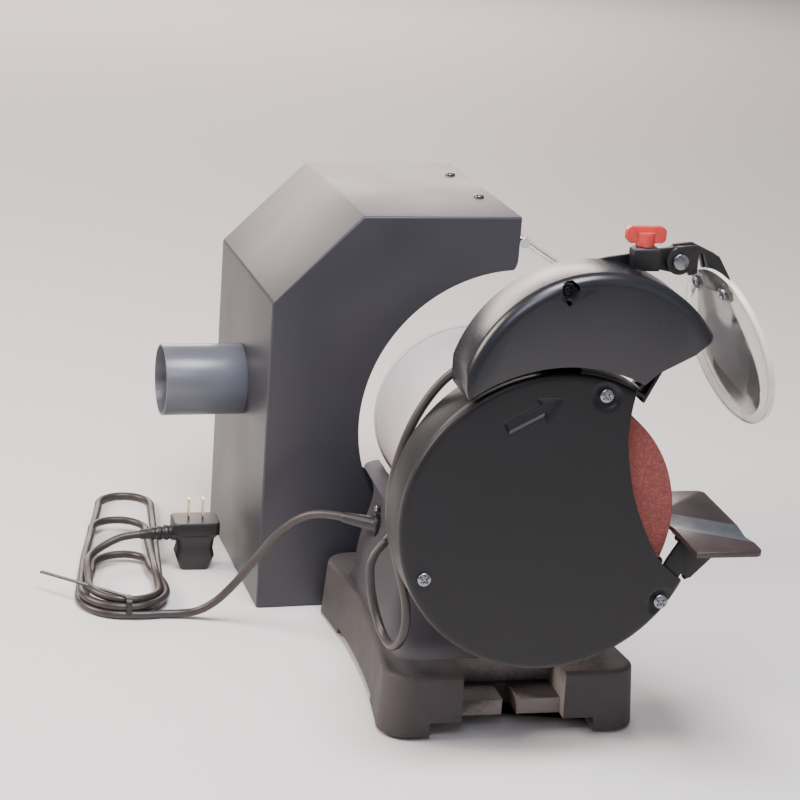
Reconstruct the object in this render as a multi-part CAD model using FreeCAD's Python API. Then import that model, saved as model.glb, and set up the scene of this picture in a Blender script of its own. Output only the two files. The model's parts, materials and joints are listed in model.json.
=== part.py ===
import FreeCAD, Part

import math
import os

from FreeCAD import Placement, Rotation, Vector

# A bench grinder with a lit wheel guard and an eye shield at its left end, and a
# free-standing suction hood round the polishing spindle at its right end.
# Millimetres. +X is the operator's right, -Y the operator's side, +Z up. The origin
# is on the table under the centre of the base; the spindle runs along X above it.

# Base casting
BASE_HALF_LENGTH = 129.0
BASE_HALF_WIDTH = 100.5
BASE_WAIST = 93.0            # half width at the middle of the long sides
BASE_TOP = 52.0
BASE_CORNER_R = 22.0
BASE_DRAFT = 3.0             # how far the foot spreads beyond the top
BASE_EDGE_R = 4.0
BASE_WALL = 9.0
PAD_THICK = 3.0
PAD_R = 11.0
PAD_INSET = 17.0
SHELF_HALF_WIDTH = 41.0      # recess for the bench bolt at each end
SHELF_INNER_X = 87.0
SHELF_SETBACK = 9.0
SHELF_TOP = 27.0
SHELF_BOTTOM = 14.0
SLOT_WIDTH = 12.0
SLOT_INNER_X = 90.0
END_ARCH_HALF = 66.0
SIDE_ARCH_HALF = 65.0
SIDE_ARCH_TOP = 8.0

# Pedestal and switch
PEDESTAL_SECTIONS = ((0.0, 97.0, 89.0), (7.0, 88.0, 88.0), (32.0, 79.0, 87.0),
                     (80.0, 73.0, 78.0), (104.0, 75.0, 87.0))  # above the base, half X, half Y
PEDESTAL_CORNER_R = 20.0
PEDESTAL_WALL = 9.0
SADDLE_GAP = 5.5             # between motor and the outer rim of the saddle
NECK_HALF_X = 60.0
NECK_HALF_Y = 55.0
SWITCH_X = 0.0
SWITCH_Z = 100.0
SWITCH_FACE_Y = -90.0
SWITCH_PLATE = (62.0, 46.0, 2.0)
SWITCH_BODY = (28.0, 34.0, 16.0)
SWITCH_BEZEL = 4.0
ROCKER = (20.0, 21.0)
ROCKER_GAP = 0.5
ROCKER_PIN_R = 1.5

# Motor
SHAFT_Z = 197.0
MOTOR_R = 76.0
MOTOR_WALL = 5.0
MOTOR_HALF = 70.0
BELL_RIM = 5.0
BELL_RIM_PROUD = 1.5
BELL_DEPTH = 30.0
BOSS_R = 31.0
BOSS_END = 113.0
STATOR_HALF = 36.0
ROTOR_R = 40.0
AIR_GAP = 0.5
WINDING_LENGTH = 20.0
BOLT_CIRCLE_R = 66.0
BOLT_R = 2.5
SHAFT_R = 8.5
BEARING_R = 20.0
BEARING_WIDTH = 12.0
BEARING_X = 102.0
RUN_CLEARANCE = 0.05

# Grinding wheel and its guard
WHEEL_R = 97.0
WHEEL_WIDTH = 25.0
WHEEL_FAR_X = -143.0
ARBOR_R = 8.0
FLANGE_R = 35.0
FLANGE_THICK = 5.0
BLOTTER_THICK = 0.5
NUT_ACROSS = 24.0
NUT_HEIGHT = 8.0
GUARD_R = 115.5
GUARD_WALL = 2.5
GUARD_BACK_X = -138.0
COVER_X = -185.0
COVER_RIM_DEPTH = 9.0
COVER_EDGE_R = 5.0
COVER_WALL = 2.0
DIMPLE_R = 11.0              # pressed seats of the upper and lower front cover screws
DIMPLE_FLOOR_R = 7.0
DIMPLE_DEPTH = 2.0
MOUTH_TOP_DEG = 124.0        # angles about the spindle, from +Y towards +Z
MOUTH_BOTTOM_DEG = 205.5
GUARD_FLANGE_R = 56.0
GUARD_BOLT_CIRCLE_R = 46.0
COVER_SCREWS = ((-31.0, 99.0), (94.5, -40.0), (-90.0, -63.0))  # Y, Z from the spindle
SCREW_POST_R = 5.0
SCREW_R = 2.0
SCREW_HEAD_R = 5.2
SCREW_HEAD = 3.0

# Spark plate and tool rest
SPARK_ROOT = (-62.5, 287.0)
SPARK_TIP = (-74.0, 311.0)
SPARK_THICK = 3.0
SPARK_HALF_WIDTH = 14.0
SPARK_TRAVEL = 8.0
SPARK_SCREW_SETBACK = 16.0   # from the plate's tip
REST_TOP = 188.0
REST_THICK = 4.5
REST_X = (-220.0, -92.0)
REST_WHEEL_GAP = 2.5
REST_REACH = 52.0
REST_TRAVEL = 18.0
GROOVE_DEPTH = 2.6
BRACKET_THICK = 4.0
SEAT_GAP = 0.3

# Lamp hood
LAMP_X = (-191.0, -145.0)
LAMP_CENTRE = (-22.0, 286.0)
LAMP_R = 102.0
LAMP_LIP_R = 123.0
LAMP_WALL = 2.5
LAMP_EDGE_R = 9.0
LAMP_SCREW = (6.0, 375.0)
SOCKET_Z = 352.0
SOCKET_R = 12.0
BULB_R = 14.0

# Eye shield
SHIELD_CENTRE = Vector(-166.0, -125.0, 328.0)
SHIELD_NORMAL = Vector(0.138, -0.941, 0.307)
SHIELD_R = 60.0
SHIELD_THICK = 3.0
SHIELD_RIM = 5.0
LENS_R = 40.0
LENS_RISE = 4.0
PIVOT = (-86.0, 389.0)       # Y, Z of the shield's friction hinge
PIVOT_R = 10.0
PIVOT_PIN_R = 3.0
EAR_THICK = 4.0
EAR_GAP = 0.3
SHIELD_SCREW_SPAN = 40.0
SHIELD_SCREW_DROP = 15.0     # from the top edge of the disc down to its screws
KNOB_AT = (-149.0, -60.0)
KNOB_R = 15.0

# Suction hood, in its own frame: x along its front, y to the rear. It is turned a
# little and stands with its near rear corner behind the base, clear of the base's foot
HOOD_REAR_Y = 157.6
HOOD_BASE_GAP = 0.3
HOOD_YAW = 2.58
HOOD_WIDTH = 213.4
HOOD_DEPTH = 212.7
HOOD_HEIGHT = 350.0
HOOD_CHAMFER = 74.0
HOOD_SHEET = 1.5
CUTOUT_TOP_LAND = 46.2       # height of panel left above and below the cut-out
CUTOUT_FOOT_LAND = 31.2
CUTOUT_AHEAD = 5.1           # of its centre, before the front edge
CUTOUT_LIP_R = 14.0
CUTOUT_LOWER_R = 6.0
DUCT_R = 31.5
DUCT_LENGTH = 72.0
DUCT_Z = 176.0
DUCT_FLANGE = 6.0
DUCT_NECK = 1.0              # swaged neck where the spigot passes the sheet: depth and length
HINGE_AHEAD = 4.8            # visor hinge ahead of the front edge and below the top
HINGE_DROP = 23.0
VISOR_ROD_R = 3.0
VISOR_LENGTH = 103.0
VISOR_THICK = 3.0
VISOR_DROOP = 31.5           # below the horizontal
VISOR_SIDE_GAP = 3.0
VISOR_NEAR_BRACKET = 75.0    # from the near side
VISOR_FAR_BRACKET = 50.4     # from the far side
BRACKET_WIDTH = 20.0
VISOR_NOTCH = 9.0            # depth of the visor's relief round each bracket

# Spindle nose for mops and felts
NOSE_ROOT_R = 9.0
NOSE_TIP_R = 3.5
NOSE_COLLAR_R = 14.0
NOSE_X = (128.0, 216.0)

# Cords
CORD_R = 3.5
GLAND_AT = Vector(25.0, 79.0, 117.0)
GLAND_AIM = Vector(0.6, 0.8, 0.0)
GLAND_LENGTH = 32.0
LAMP_GLAND_AT = Vector(-60.0, 83.0, 148.0)
LAMP_GLAND_AIM = Vector(-0.2, 0.75, -0.63)
LAMP_GLAND_LENGTH = 16.0
LAMP_CORD_START = Vector(-145.0, 64.0, 309.0)
HANK_NEAR = (152.0, 270.0, 40.0)      # X, Y, radius of the two ends of the hank
HANK_FAR = (385.0, 248.0, 24.0)
HANK_THICK = 16.0
TIE_HALF = (8.0, 2.4)        # half width round the bundle, half width of the strap
TIE_THICK = 1.3
TIE_TAIL = 92.0
TIE_TAIL_TURN = 49.0
PLUG_AT = (227.0, 199.0)
PLUG_TOP = (30.0, 42.0)
PLUG_FOOT = (18.0, 26.0)
PLUG_HEIGHT = 47.0
PIN_SPACING = 12.7
PIN_LENGTH = 19.0
RELIEF_LENGTH = 28.0

CORD_ROUTE = [(55, 119, 117), (67.5, 136.5, 109), (79, 153, 89), (89, 168.5, 62), (97, 183, 37),
              (104, 198, 17.5), (112, 214, 6.5), (120.5, 229, 4), (127, 238.3, 4)]
PLUG_CORD_ROUTE = [(227, 262, 31.1), (224, 276, 26), (216, 288, 22), (203, 296, 20.5), (188, 299, 20), (172, 298, 19.8)]
LAMP_CORD_ROUTE = [(-138, 73, 300), (-132.5, 84, 285), (-131, 96, 264), (-131, 105, 240), (-131, 110.5, 212),
                   (-131, 110.5, 184), (-131, 104, 156), (-131, 96, 131), (-131, 91, 108), (-130.5, 92, 87),
                   (-115, 95.5, 70.5), (-92, 98.5, 70.5), (-76, 103, 87), (-72, 107, 107), (-66.4, 106.9, 127.9)]


def block(x, y, z):
    return Part.makeBox(x[1] - x[0], y[1] - y[0], z[1] - z[0], Vector(x[0], y[0], z[0]))


def rod(radius, start, end):
    start, end = Vector(*start), Vector(*end)
    return Part.makeCylinder(radius, (end - start).Length, start, end - start)


def cone(r0, r1, start, end):
    start, end = Vector(*start), Vector(*end)
    return Part.makeCone(r0, r1, (end - start).Length, start, end - start)


def rod_x(radius, x0, x1, y=0.0, z=SHAFT_Z):
    return rod(radius, (x0, y, z), (x1, y, z))


def turned(profile):
    """Solid of revolution about the spindle from (x, radius) corners."""
    points = [Vector(x, 0, SHAFT_Z + r) for x, r in profile]
    face = Part.Face(Part.makePolygon(points + points[:1]))
    return face.revolve(Vector(0, 0, SHAFT_Z), Vector(1, 0, 0), 360)


def plate_x(points, x0, x1):
    """Outline of (y, z) corners, a corner of three values being (y, z, via) of an arc, cut from x0 to x1."""
    corners = [Vector(x0, p[0], p[1]) for p in points]
    edges = []
    for i, start in enumerate(corners):
        j = (i + 1) % len(corners)
        if len(points[j]) == 3:
            via = points[j][2]
            edges.append(Part.Arc(start, Vector(x0, via[0], via[1]), corners[j]).toShape())
        else:
            edges.append(Part.LineSegment(start, corners[j]).toShape())
    return Part.Face(Part.Wire(edges)).extrude(Vector(x1 - x0, 0, 0))


def joined(*shapes):
    return shapes[0].multiFuse(list(shapes[1:])).removeSplitter()


def rounded(half_x, half_y, radius, z):
    """Closed wire of a rounded rectangle at height z."""
    k = radius * (1 - math.sqrt(0.5))
    edges = []
    spots = [(half_x, half_y, 1, 1), (-half_x, half_y, -1, 1), (-half_x, -half_y, -1, -1), (half_x, -half_y, 1, -1)]
    arcs = []
    for x, y, sx, sy in spots:
        on_x, on_y = Vector(x - sx * radius, y, z), Vector(x, y - sy * radius, z)
        mid = Vector(x - sx * k, y - sy * k, z)
        arcs.append((on_y, mid, on_x) if sx * sy > 0 else (on_x, mid, on_y))
    for i, (start, mid, end) in enumerate(arcs):
        edges.append(Part.Arc(start, mid, end).toShape())
        edges.append(Part.LineSegment(end, arcs[(i + 1) % 4][0]).toShape())
    return Part.Wire(edges)


def edges_where(shape, test):
    return [e for e in shape.Edges if all(test(v.Point) for v in e.Vertexes)
            and test(e.valueAt((e.FirstParameter + e.LastParameter) / 2))]


def about_shaft(radius, degrees):
    a = math.radians(degrees)
    return radius * math.cos(a), SHAFT_Z + radius * math.sin(a)


def spaced(shape, angles):
    """Copies of a shape turned about the spindle."""
    copies = []
    for angle in angles:
        copy = shape.copy()
        copy.rotate(Vector(0, 0, SHAFT_Z), Vector(1, 0, 0), angle)
        copies.append(copy)
    return copies


def cord_tube(name, start, route):
    """Straight runs joined by tangent arcs, each as large as its two runs allow."""
    points = [Vector(*start)] + [Vector(*p) for p in route]
    edges, at, radii = [], points[0], []
    for before, corner, after in zip(points, points[1:], points[2:]):
        along, onward = (corner - before).normalize(), (after - corner).normalize()
        turn = along.getAngle(onward)
        reach = 0.45 * min((corner - before).Length, (after - corner).Length)
        radius = reach / math.tan(turn / 2)
        begin, end = corner - along * reach, corner + onward * reach
        bisector = (onward - along).normalize()
        middle = corner + bisector * (radius / math.cos(turn / 2) - radius)
        edges.append(Part.LineSegment(at, begin).toShape())
        edges.append(Part.Arc(begin, middle, end).toShape())
        at = end
        radii.append(radius)
    edges.append(Part.LineSegment(at, points[-1]).toShape())
    path = Part.Wire(edges)
    section = Part.Wire(Part.makeCircle(CORD_R, points[0], points[1] - points[0]))
    tube = path.makePipeShell([section], True, False)
    expected = math.pi * CORD_R ** 2 * path.Length
    print("%s: length %.0f, radii %s, volume ratio %.4f" % (
        name, path.Length, " ".join("%.0f" % r for r in radii), tube.Volume / expected))
    return tube


def in_hood(shape):
    """Places a shape drawn in the suction hood's own frame."""
    placed = shape.copy()
    placed.Placement = Placement(HOOD_CORNER, Rotation(Vector(0, 0, 1), HOOD_YAW)).multiply(placed.Placement)
    return placed


NODES = {}

foot_side_y = BASE_HALF_WIDTH + BASE_DRAFT - BASE_CORNER_R
HOOD_CORNER = Vector(BASE_HALF_LENGTH + BASE_DRAFT + HOOD_BASE_GAP - (HOOD_REAR_Y - foot_side_y) * math.tan(math.radians(HOOD_YAW)), HOOD_REAR_Y, 0)


# Base casting: waisted plan, drafted sides, hollow underneath, bolt shelves at the ends
def base_outline(z, spread):
    half_x, half_y = BASE_HALF_LENGTH + spread, BASE_HALF_WIDTH + spread
    k = BASE_CORNER_R * (1 - math.sqrt(0.5))
    edges = []
    for sx, sy in ((1, 1), (-1, 1), (-1, -1), (1, -1)):
        along = Vector(sx * (half_x - BASE_CORNER_R), sy * half_y, z)
        across = Vector(sx * half_x, sy * (half_y - BASE_CORNER_R), z)
        mid = Vector(sx * (half_x - k), sy * (half_y - k), z)
        first, last = (across, along) if sx * sy > 0 else (along, across)
        edges.append(Part.Arc(first, mid, last).toShape())
        if sx * sy > 0:
            waist = Vector(0, sy * (BASE_WAIST + spread), z)
            edges.append(Part.Arc(last, waist, Vector(-last.x, last.y, z)).toShape())
        else:
            edges.append(Part.LineSegment(last, Vector(last.x, -last.y, z)).toShape())
    return Part.Wire(edges)


body = Part.makeLoft([base_outline(PAD_THICK, BASE_DRAFT), base_outline(BASE_TOP, 0)], True, True)
body = body.makeFillet(BASE_EDGE_R, edges_where(body, lambda p: p.z > BASE_TOP - 0.1))
reach = BASE_HALF_LENGTH + 20
cuts = []
for side in (-1, 1):
    def ends(x0, x1):
        return (x0, x1) if side > 0 else (-x1, -x0)
    cuts.append(block(ends(SHELF_INNER_X, reach), (-SHELF_HALF_WIDTH, SHELF_HALF_WIDTH), (SHELF_TOP, BASE_TOP + 1)))
    cuts.append(block(ends(BASE_HALF_LENGTH - SHELF_SETBACK, reach), (-SHELF_HALF_WIDTH, SHELF_HALF_WIDTH), (0, BASE_TOP + 1)))
    cuts.append(block(ends(SHELF_INNER_X - BASE_WALL, reach), (-END_ARCH_HALF, END_ARCH_HALF), (0, SHELF_BOTTOM)))
    slot_x = side * (SLOT_INNER_X + SLOT_WIDTH / 2)
    cuts.append(block(ends(abs(slot_x), reach), (-SLOT_WIDTH / 2, SLOT_WIDTH / 2), (0, SHELF_TOP + 1)))
    cuts.append(rod(SLOT_WIDTH / 2, (slot_x, 0, 0), (slot_x, 0, SHELF_TOP + 1)))
cuts.append(block((-SIDE_ARCH_HALF, SIDE_ARCH_HALF), (-reach, reach), (0, SIDE_ARCH_TOP)))
hollow_x, hollow_y = SHELF_INNER_X - BASE_WALL, BASE_WAIST - BASE_WALL
cuts.append(Part.makeLoft([rounded(hollow_x, hollow_y, 12, 0), rounded(hollow_x - 3, hollow_y - 3, 12, BASE_TOP - BASE_WALL)], True, True))
NODES["base_casting"] = body.cut(cuts)

pads = [rod(PAD_R, (sx * (BASE_HALF_LENGTH - PAD_INSET), sy * (BASE_HALF_WIDTH - PAD_INSET), 0),
            (sx * (BASE_HALF_LENGTH - PAD_INSET), sy * (BASE_HALF_WIDTH - PAD_INSET), PAD_THICK))
        for sx in (-1, 1) for sy in (-1, 1)]
NODES["foot_pads"] = Part.makeCompound(pads)

# Pedestal: a waisted casting whose top is hollowed to the motor
shell = Part.makeLoft([rounded(hx, hy, PEDESTAL_CORNER_R, BASE_TOP + dz) for dz, hx, hy in PEDESTAL_SECTIONS], True, False)
core_sections = [(PEDESTAL_SECTIONS[0][0] - 1, PEDESTAL_SECTIONS[1][1], PEDESTAL_SECTIONS[1][2]), PEDESTAL_SECTIONS[3]]
core = Part.makeLoft([rounded(hx - PEDESTAL_WALL, hy - PEDESTAL_WALL, PEDESTAL_CORNER_R - 8, BASE_TOP + dz)
                      for dz, hx, hy in core_sections], True, True)
core = core.cut(rod_x(MOTOR_R + SADDLE_GAP + PEDESTAL_WALL, -200, 200))
neck = block((-NECK_HALF_X, NECK_HALF_X), (-NECK_HALF_Y, NECK_HALF_Y), (SHAFT_Z - MOTOR_R - SADDLE_GAP - 4, SHAFT_Z - 40))
boss_y = (SWITCH_FACE_Y, -PEDESTAL_SECTIONS[3][2] + PEDESTAL_WALL)
switch_half_x, switch_half_z = SWITCH_PLATE[0] / 2 + 3, SWITCH_PLATE[1] / 2 + 3
boss = block((SWITCH_X - switch_half_x, SWITCH_X + switch_half_x), boss_y, (SWITCH_Z - switch_half_z, SWITCH_Z + switch_half_z))
pedestal = shell.cut(rod_x(MOTOR_R + SADDLE_GAP, -200, 200)).cut(core)
pedestal = pedestal.fuse([neck.cut(rod_x(MOTOR_R, -200, 200)), boss])
switch_hole = block((SWITCH_X - SWITCH_BODY[0] / 2, SWITCH_X + SWITCH_BODY[0] / 2),
                    (SWITCH_FACE_Y - 5, SWITCH_FACE_Y + SWITCH_BODY[2] + 12),
                    (SWITCH_Z - SWITCH_BODY[1] / 2, SWITCH_Z + SWITCH_BODY[1] / 2))
foot_bolt_x, foot_bolt_y = 50.0, 60.0
foot_bolts = [(sx * foot_bolt_x, sy * foot_bolt_y) for sx in (-1, 1) for sy in (-1, 1)]
foot_bosses = [rod(9, (x, y, BASE_TOP), (x, y, BASE_TOP + 22)) for x, y in foot_bolts]
foot_bosses += [block((x - 4, x + 4), sorted((y, math.copysign(PEDESTAL_SECTIONS[2][2] - 4, y))), (BASE_TOP, BASE_TOP + 22))
                for x, y in foot_bolts]
pedestal = pedestal.fuse(foot_bosses).cut(switch_hole)
bolt_holes = [rod(3.2, (x, y, BASE_TOP - BASE_WALL - 6), (x, y, BASE_TOP + 18)) for x, y in foot_bolts]
NODES["base_casting"] = NODES["base_casting"].cut(bolt_holes)
NODES["pedestal"] = pedestal.cut(bolt_holes).removeSplitter()
NODES["pedestal_bolts"] = Part.makeCompound([
    joined(rod(3.2, (x, y, BASE_TOP - BASE_WALL - 0.01), (x, y, BASE_TOP + 18)),
           rod(5.5, (x, y, BASE_TOP - BASE_WALL - 5), (x, y, BASE_TOP - BASE_WALL))) for x, y in foot_bolts])

# Switch on the operator's side
plate_y = (SWITCH_FACE_Y - SWITCH_PLATE[2], SWITCH_FACE_Y)
plate = block((SWITCH_X - SWITCH_PLATE[0] / 2, SWITCH_X + SWITCH_PLATE[0] / 2), plate_y,
              (SWITCH_Z - SWITCH_PLATE[1] / 2, SWITCH_Z + SWITCH_PLATE[1] / 2))
plate = plate.makeFillet(4, edges_where(plate, lambda p: abs(abs(p.x - SWITCH_X) - SWITCH_PLATE[0] / 2) < 0.1
                                        and abs(abs(p.z - SWITCH_Z) - SWITCH_PLATE[1] / 2) < 0.1)).cut(switch_hole)
plate_screws = [joined(rod(SCREW_R, (SWITCH_X + s * 24, plate_y[0], SWITCH_Z), (SWITCH_X + s * 24, plate_y[1] + 8, SWITCH_Z)),
                       rod(4, (SWITCH_X + s * 24, plate_y[0] - 2, SWITCH_Z), (SWITCH_X + s * 24, plate_y[0], SWITCH_Z)))
                for s in (-1, 1)]
NODES["switch_plate"] = plate.cut(plate_screws)
NODES["pedestal"] = NODES["pedestal"].cut(plate_screws)

body_y = (plate_y[0] - SWITCH_BEZEL + 1, SWITCH_FACE_Y + SWITCH_BODY[2])
pivot_y = body_y[0] + 4.0
inner_x, inner_z = ROCKER[0] / 2 + ROCKER_GAP, ROCKER[1] / 2 + 2.2
switch_body = block((SWITCH_X - SWITCH_BODY[0] / 2, SWITCH_X + SWITCH_BODY[0] / 2), body_y,
                    (SWITCH_Z - SWITCH_BODY[1] / 2, SWITCH_Z + SWITCH_BODY[1] / 2))
switch_body = switch_body.cut([block((SWITCH_X - inner_x, SWITCH_X + inner_x), (body_y[0] - 1, pivot_y + 9), (SWITCH_Z - inner_z, SWITCH_Z + inner_z)),
                               rod(ROCKER_PIN_R + RUN_CLEARANCE, (SWITCH_X - inner_x - 2, pivot_y, SWITCH_Z), (SWITCH_X + inner_x + 2, pivot_y, SWITCH_Z))])
NODES["switch_body"] = switch_body
half = ROCKER[1] / 2
rocker = plate_x([(pivot_y - 8, SWITCH_Z + half), (pivot_y - 4, SWITCH_Z - half, (pivot_y - 4.4, SWITCH_Z)),
                  (pivot_y + 3, SWITCH_Z - half + 2), (pivot_y + 3, SWITCH_Z + half - 2)],
                 SWITCH_X - ROCKER[0] / 2, SWITCH_X + ROCKER[0] / 2)
NODES["rocker_switch"] = joined(rocker, rod(ROCKER_PIN_R, (SWITCH_X - inner_x - 1.8, pivot_y, SWITCH_Z), (SWITCH_X + inner_x + 1.8, pivot_y, SWITCH_Z)))

# Strain reliefs on the pedestal's rear side
aim = Vector(GLAND_AIM).normalize()
gland_end = GLAND_AT + aim * GLAND_LENGTH
gland = joined(rod(9, GLAND_AT - Vector(0, 3, 0), GLAND_AT + Vector(0, 5, 0)), cone(6.2, CORD_R + 0.9, GLAND_AT, gland_end))
gland = gland.cut(NODES["pedestal"])
gland_screw_at = GLAND_AT + Vector(5, 0, 13)
gland_screw = joined(rod(SCREW_R, gland_screw_at - Vector(0, 8, 0), gland_screw_at + Vector(0, 3, 0)),
                     rod(3.6, gland_screw_at + Vector(0, 1, 0), gland_screw_at + Vector(0, 3.5, 0)))
NODES["pedestal_screws"] = Part.makeCompound(plate_screws + [gland_screw])
NODES["pedestal"] = NODES["pedestal"].cut(gland_screw)
lamp_aim = Vector(LAMP_GLAND_AIM).normalize()
lamp_gland_end = LAMP_GLAND_AT + lamp_aim * LAMP_GLAND_LENGTH
lamp_gland = cone(7, CORD_R + 0.8, LAMP_GLAND_AT - lamp_aim * 3, lamp_gland_end).cut(NODES["pedestal"])
NODES["cord_gland"] = gland
NODES["lamp_cord_gland"] = lamp_gland

# Motor: shell, wound stator and two end bells that carry the bearings
shell_inner = MOTOR_R - MOTOR_WALL
NODES["motor_shell"] = turned([(-MOTOR_HALF, shell_inner), (MOTOR_HALF, shell_inner), (MOTOR_HALF, MOTOR_R), (-MOTOR_HALF, MOTOR_R)])
through = [rod_x(BOLT_R, -MOTOR_HALF - BELL_RIM - 8, MOTOR_HALF + BELL_RIM + 8, z=SHAFT_Z + BOLT_CIRCLE_R)]
bolt_angles = (20, 110, 200, 290)
through = spaced(through[0], bolt_angles)
stator = turned([(-STATOR_HALF, ROTOR_R + AIR_GAP), (STATOR_HALF, ROTOR_R + AIR_GAP), (STATOR_HALF, shell_inner), (-STATOR_HALF, shell_inner)])
NODES["stator_core"] = stator.cut(through)
coil_in, coil_out = ROTOR_R + 6, BOLT_CIRCLE_R - 5
coil = turned([(STATOR_HALF, coil_in), (STATOR_HALF + WINDING_LENGTH - 5, coil_in), (STATOR_HALF + WINDING_LENGTH, coil_in + 5),
               (STATOR_HALF + WINDING_LENGTH, coil_out - 5), (STATOR_HALF + WINDING_LENGTH - 5, coil_out), (STATOR_HALF, coil_out)])
other_coil = coil.mirror(Vector(0, 0, 0), Vector(1, 0, 0))
NODES["winding_ends"] = Part.makeCompound([coil, other_coil])

bearing_in, bearing_out = BEARING_X - BEARING_WIDTH / 2, BEARING_X + BEARING_WIDTH / 2
rim_r, rim_x = MOTOR_R + BELL_RIM_PROUD, MOTOR_HALF + BELL_RIM
bell_outer = [(MOTOR_HALF, shell_inner), (MOTOR_HALF, rim_r), (rim_x, rim_r), (rim_x + 5, rim_r - 4), (rim_x + 12, rim_r - 16), (rim_x + BELL_DEPTH - 8, BOSS_R + 8), (rim_x + BELL_DEPTH, BOSS_R)]
bell_inner = [(bearing_out, BEARING_R), (bearing_in, BEARING_R), (bearing_in, SHAFT_R + 6), (bearing_in - 3, SHAFT_R + 6), (bearing_in - 3, BOSS_R - 6), (rim_x + 2, shell_inner - 12)]
right = turned(bell_outer + [(BOSS_END, BOSS_R - 2), (BOSS_END, SHAFT_R + 3), (bearing_out, SHAFT_R + 3)] + bell_inner)
guard_face = -GUARD_BACK_X
left_profile = bell_outer + [(guard_face - 12, BOSS_R + 8), (guard_face - 12, GUARD_FLANGE_R), (guard_face, GUARD_FLANGE_R),
                             (guard_face, FLANGE_R + 2), (guard_face - 16, FLANGE_R + 2), (bearing_out, BEARING_R + 4)] + bell_inner
left = turned(left_profile).mirror(Vector(0, 0, 0), Vector(1, 0, 0))
bolt_bores = spaced(rod_x(BOLT_R, -rim_x - 6, rim_x + 6, z=SHAFT_Z + BOLT_CIRCLE_R), bolt_angles)
seats = spaced(rod_x(7, rim_x + 4, rim_x + 30, z=SHAFT_Z + BOLT_CIRCLE_R), bolt_angles)
NODES["end_bell_right"] = right.cut(bolt_bores).cut(seats)
left_seats = [s.mirror(Vector(0, 0, 0), Vector(1, 0, 0)) for s in seats]
NODES["end_bell_left"] = left.cut(bolt_bores).cut(left_seats)
right_heads = spaced(rod_x(5, rim_x + 4, rim_x + 8, z=SHAFT_Z + BOLT_CIRCLE_R), bolt_angles)
left_heads = [h.mirror(Vector(0, 0, 0), Vector(1, 0, 0)) for h in right_heads]
shanks = spaced(rod_x(BOLT_R, -rim_x - 4.5, rim_x + 4.5, z=SHAFT_Z + BOLT_CIRCLE_R), bolt_angles)
NODES["through_bolts"] = Part.makeCompound([
    joined(shank, right_heads[i], min(left_heads, key=lambda h: (h.CenterOfMass - shank.CenterOfMass).Length))
    for i, shank in enumerate(shanks)])
NODES["bearings"] = Part.makeCompound([
    turned([(x0, SHAFT_R + RUN_CLEARANCE), (x1, SHAFT_R + RUN_CLEARANCE), (x1, BEARING_R), (x0, BEARING_R)])
    for x0, x1 in ((-bearing_out, -bearing_in), (bearing_in, bearing_out))])

# Spindle with rotor, wheel set and polishing nose
outer_flange_x = WHEEL_FAR_X - WHEEL_WIDTH - BLOTTER_THICK
nut_x = outer_flange_x - FLANGE_THICK
shaft = turned([(nut_x - NUT_HEIGHT - 0.5, 0), (nut_x - NUT_HEIGHT - 0.5, ARBOR_R), (WHEEL_FAR_X + BLOTTER_THICK, ARBOR_R),
                (WHEEL_FAR_X + BLOTTER_THICK, SHAFT_R), (NOSE_X[0], SHAFT_R), (NOSE_X[0], 0)])
NODES["spindle_shaft"] = shaft
NODES["rotor"] = turned([(-STATOR_HALF, SHAFT_R), (STATOR_HALF, SHAFT_R), (STATOR_HALF, ROTOR_R), (-STATOR_HALF, ROTOR_R)])
inner_x0 = WHEEL_FAR_X + BLOTTER_THICK
NODES["inner_flange"] = turned([(inner_x0, SHAFT_R), (inner_x0, FLANGE_R), (inner_x0 + 3, FLANGE_R), (inner_x0 + 7, FLANGE_R - 10),
                                (inner_x0 + 7, 16), (inner_x0 + 22, 14), (inner_x0 + 22, SHAFT_R)])
wheel_x0 = WHEEL_FAR_X - WHEEL_WIDTH
NODES["grinding_wheel"] = turned([(wheel_x0, ARBOR_R), (wheel_x0, WHEEL_R - 1), (wheel_x0 + 1, WHEEL_R), (WHEEL_FAR_X - 1, WHEEL_R),
                                  (WHEEL_FAR_X, WHEEL_R - 1), (WHEEL_FAR_X, ARBOR_R)])
NODES["wheel_blotters"] = Part.makeCompound([
    turned([(x, ARBOR_R), (x, FLANGE_R + 1), (x + BLOTTER_THICK, FLANGE_R + 1), (x + BLOTTER_THICK, ARBOR_R)])
    for x in (WHEEL_FAR_X, wheel_x0 - BLOTTER_THICK)])
NODES["outer_flange"] = turned([(outer_flange_x, ARBOR_R), (outer_flange_x, FLANGE_R - 12), (outer_flange_x - 0.8, FLANGE_R - 12), (outer_flange_x, FLANGE_R - 8),
                                (outer_flange_x, FLANGE_R), (outer_flange_x - 3, FLANGE_R), (nut_x, FLANGE_R - 9), (nut_x, ARBOR_R)])
hexagon = [about_shaft(NUT_ACROSS / 2 / math.cos(math.radians(30)), a) for a in range(0, 360, 60)]
NODES["wheel_nut"] = plate_x(hexagon, nut_x - NUT_HEIGHT, nut_x).cut(rod_x(ARBOR_R, nut_x - 20, nut_x + 1))
collar_end = NOSE_X[0] + 4
NODES["polishing_nose"] = turned([(NOSE_X[0] - 12, SHAFT_R), (NOSE_X[0] - 12, NOSE_COLLAR_R), (collar_end, NOSE_COLLAR_R),
                                  (collar_end + 4, NOSE_ROOT_R), (NOSE_X[1], NOSE_TIP_R), (NOSE_X[1], 0), (NOSE_X[0], 0), (NOSE_X[0], SHAFT_R)])

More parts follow.
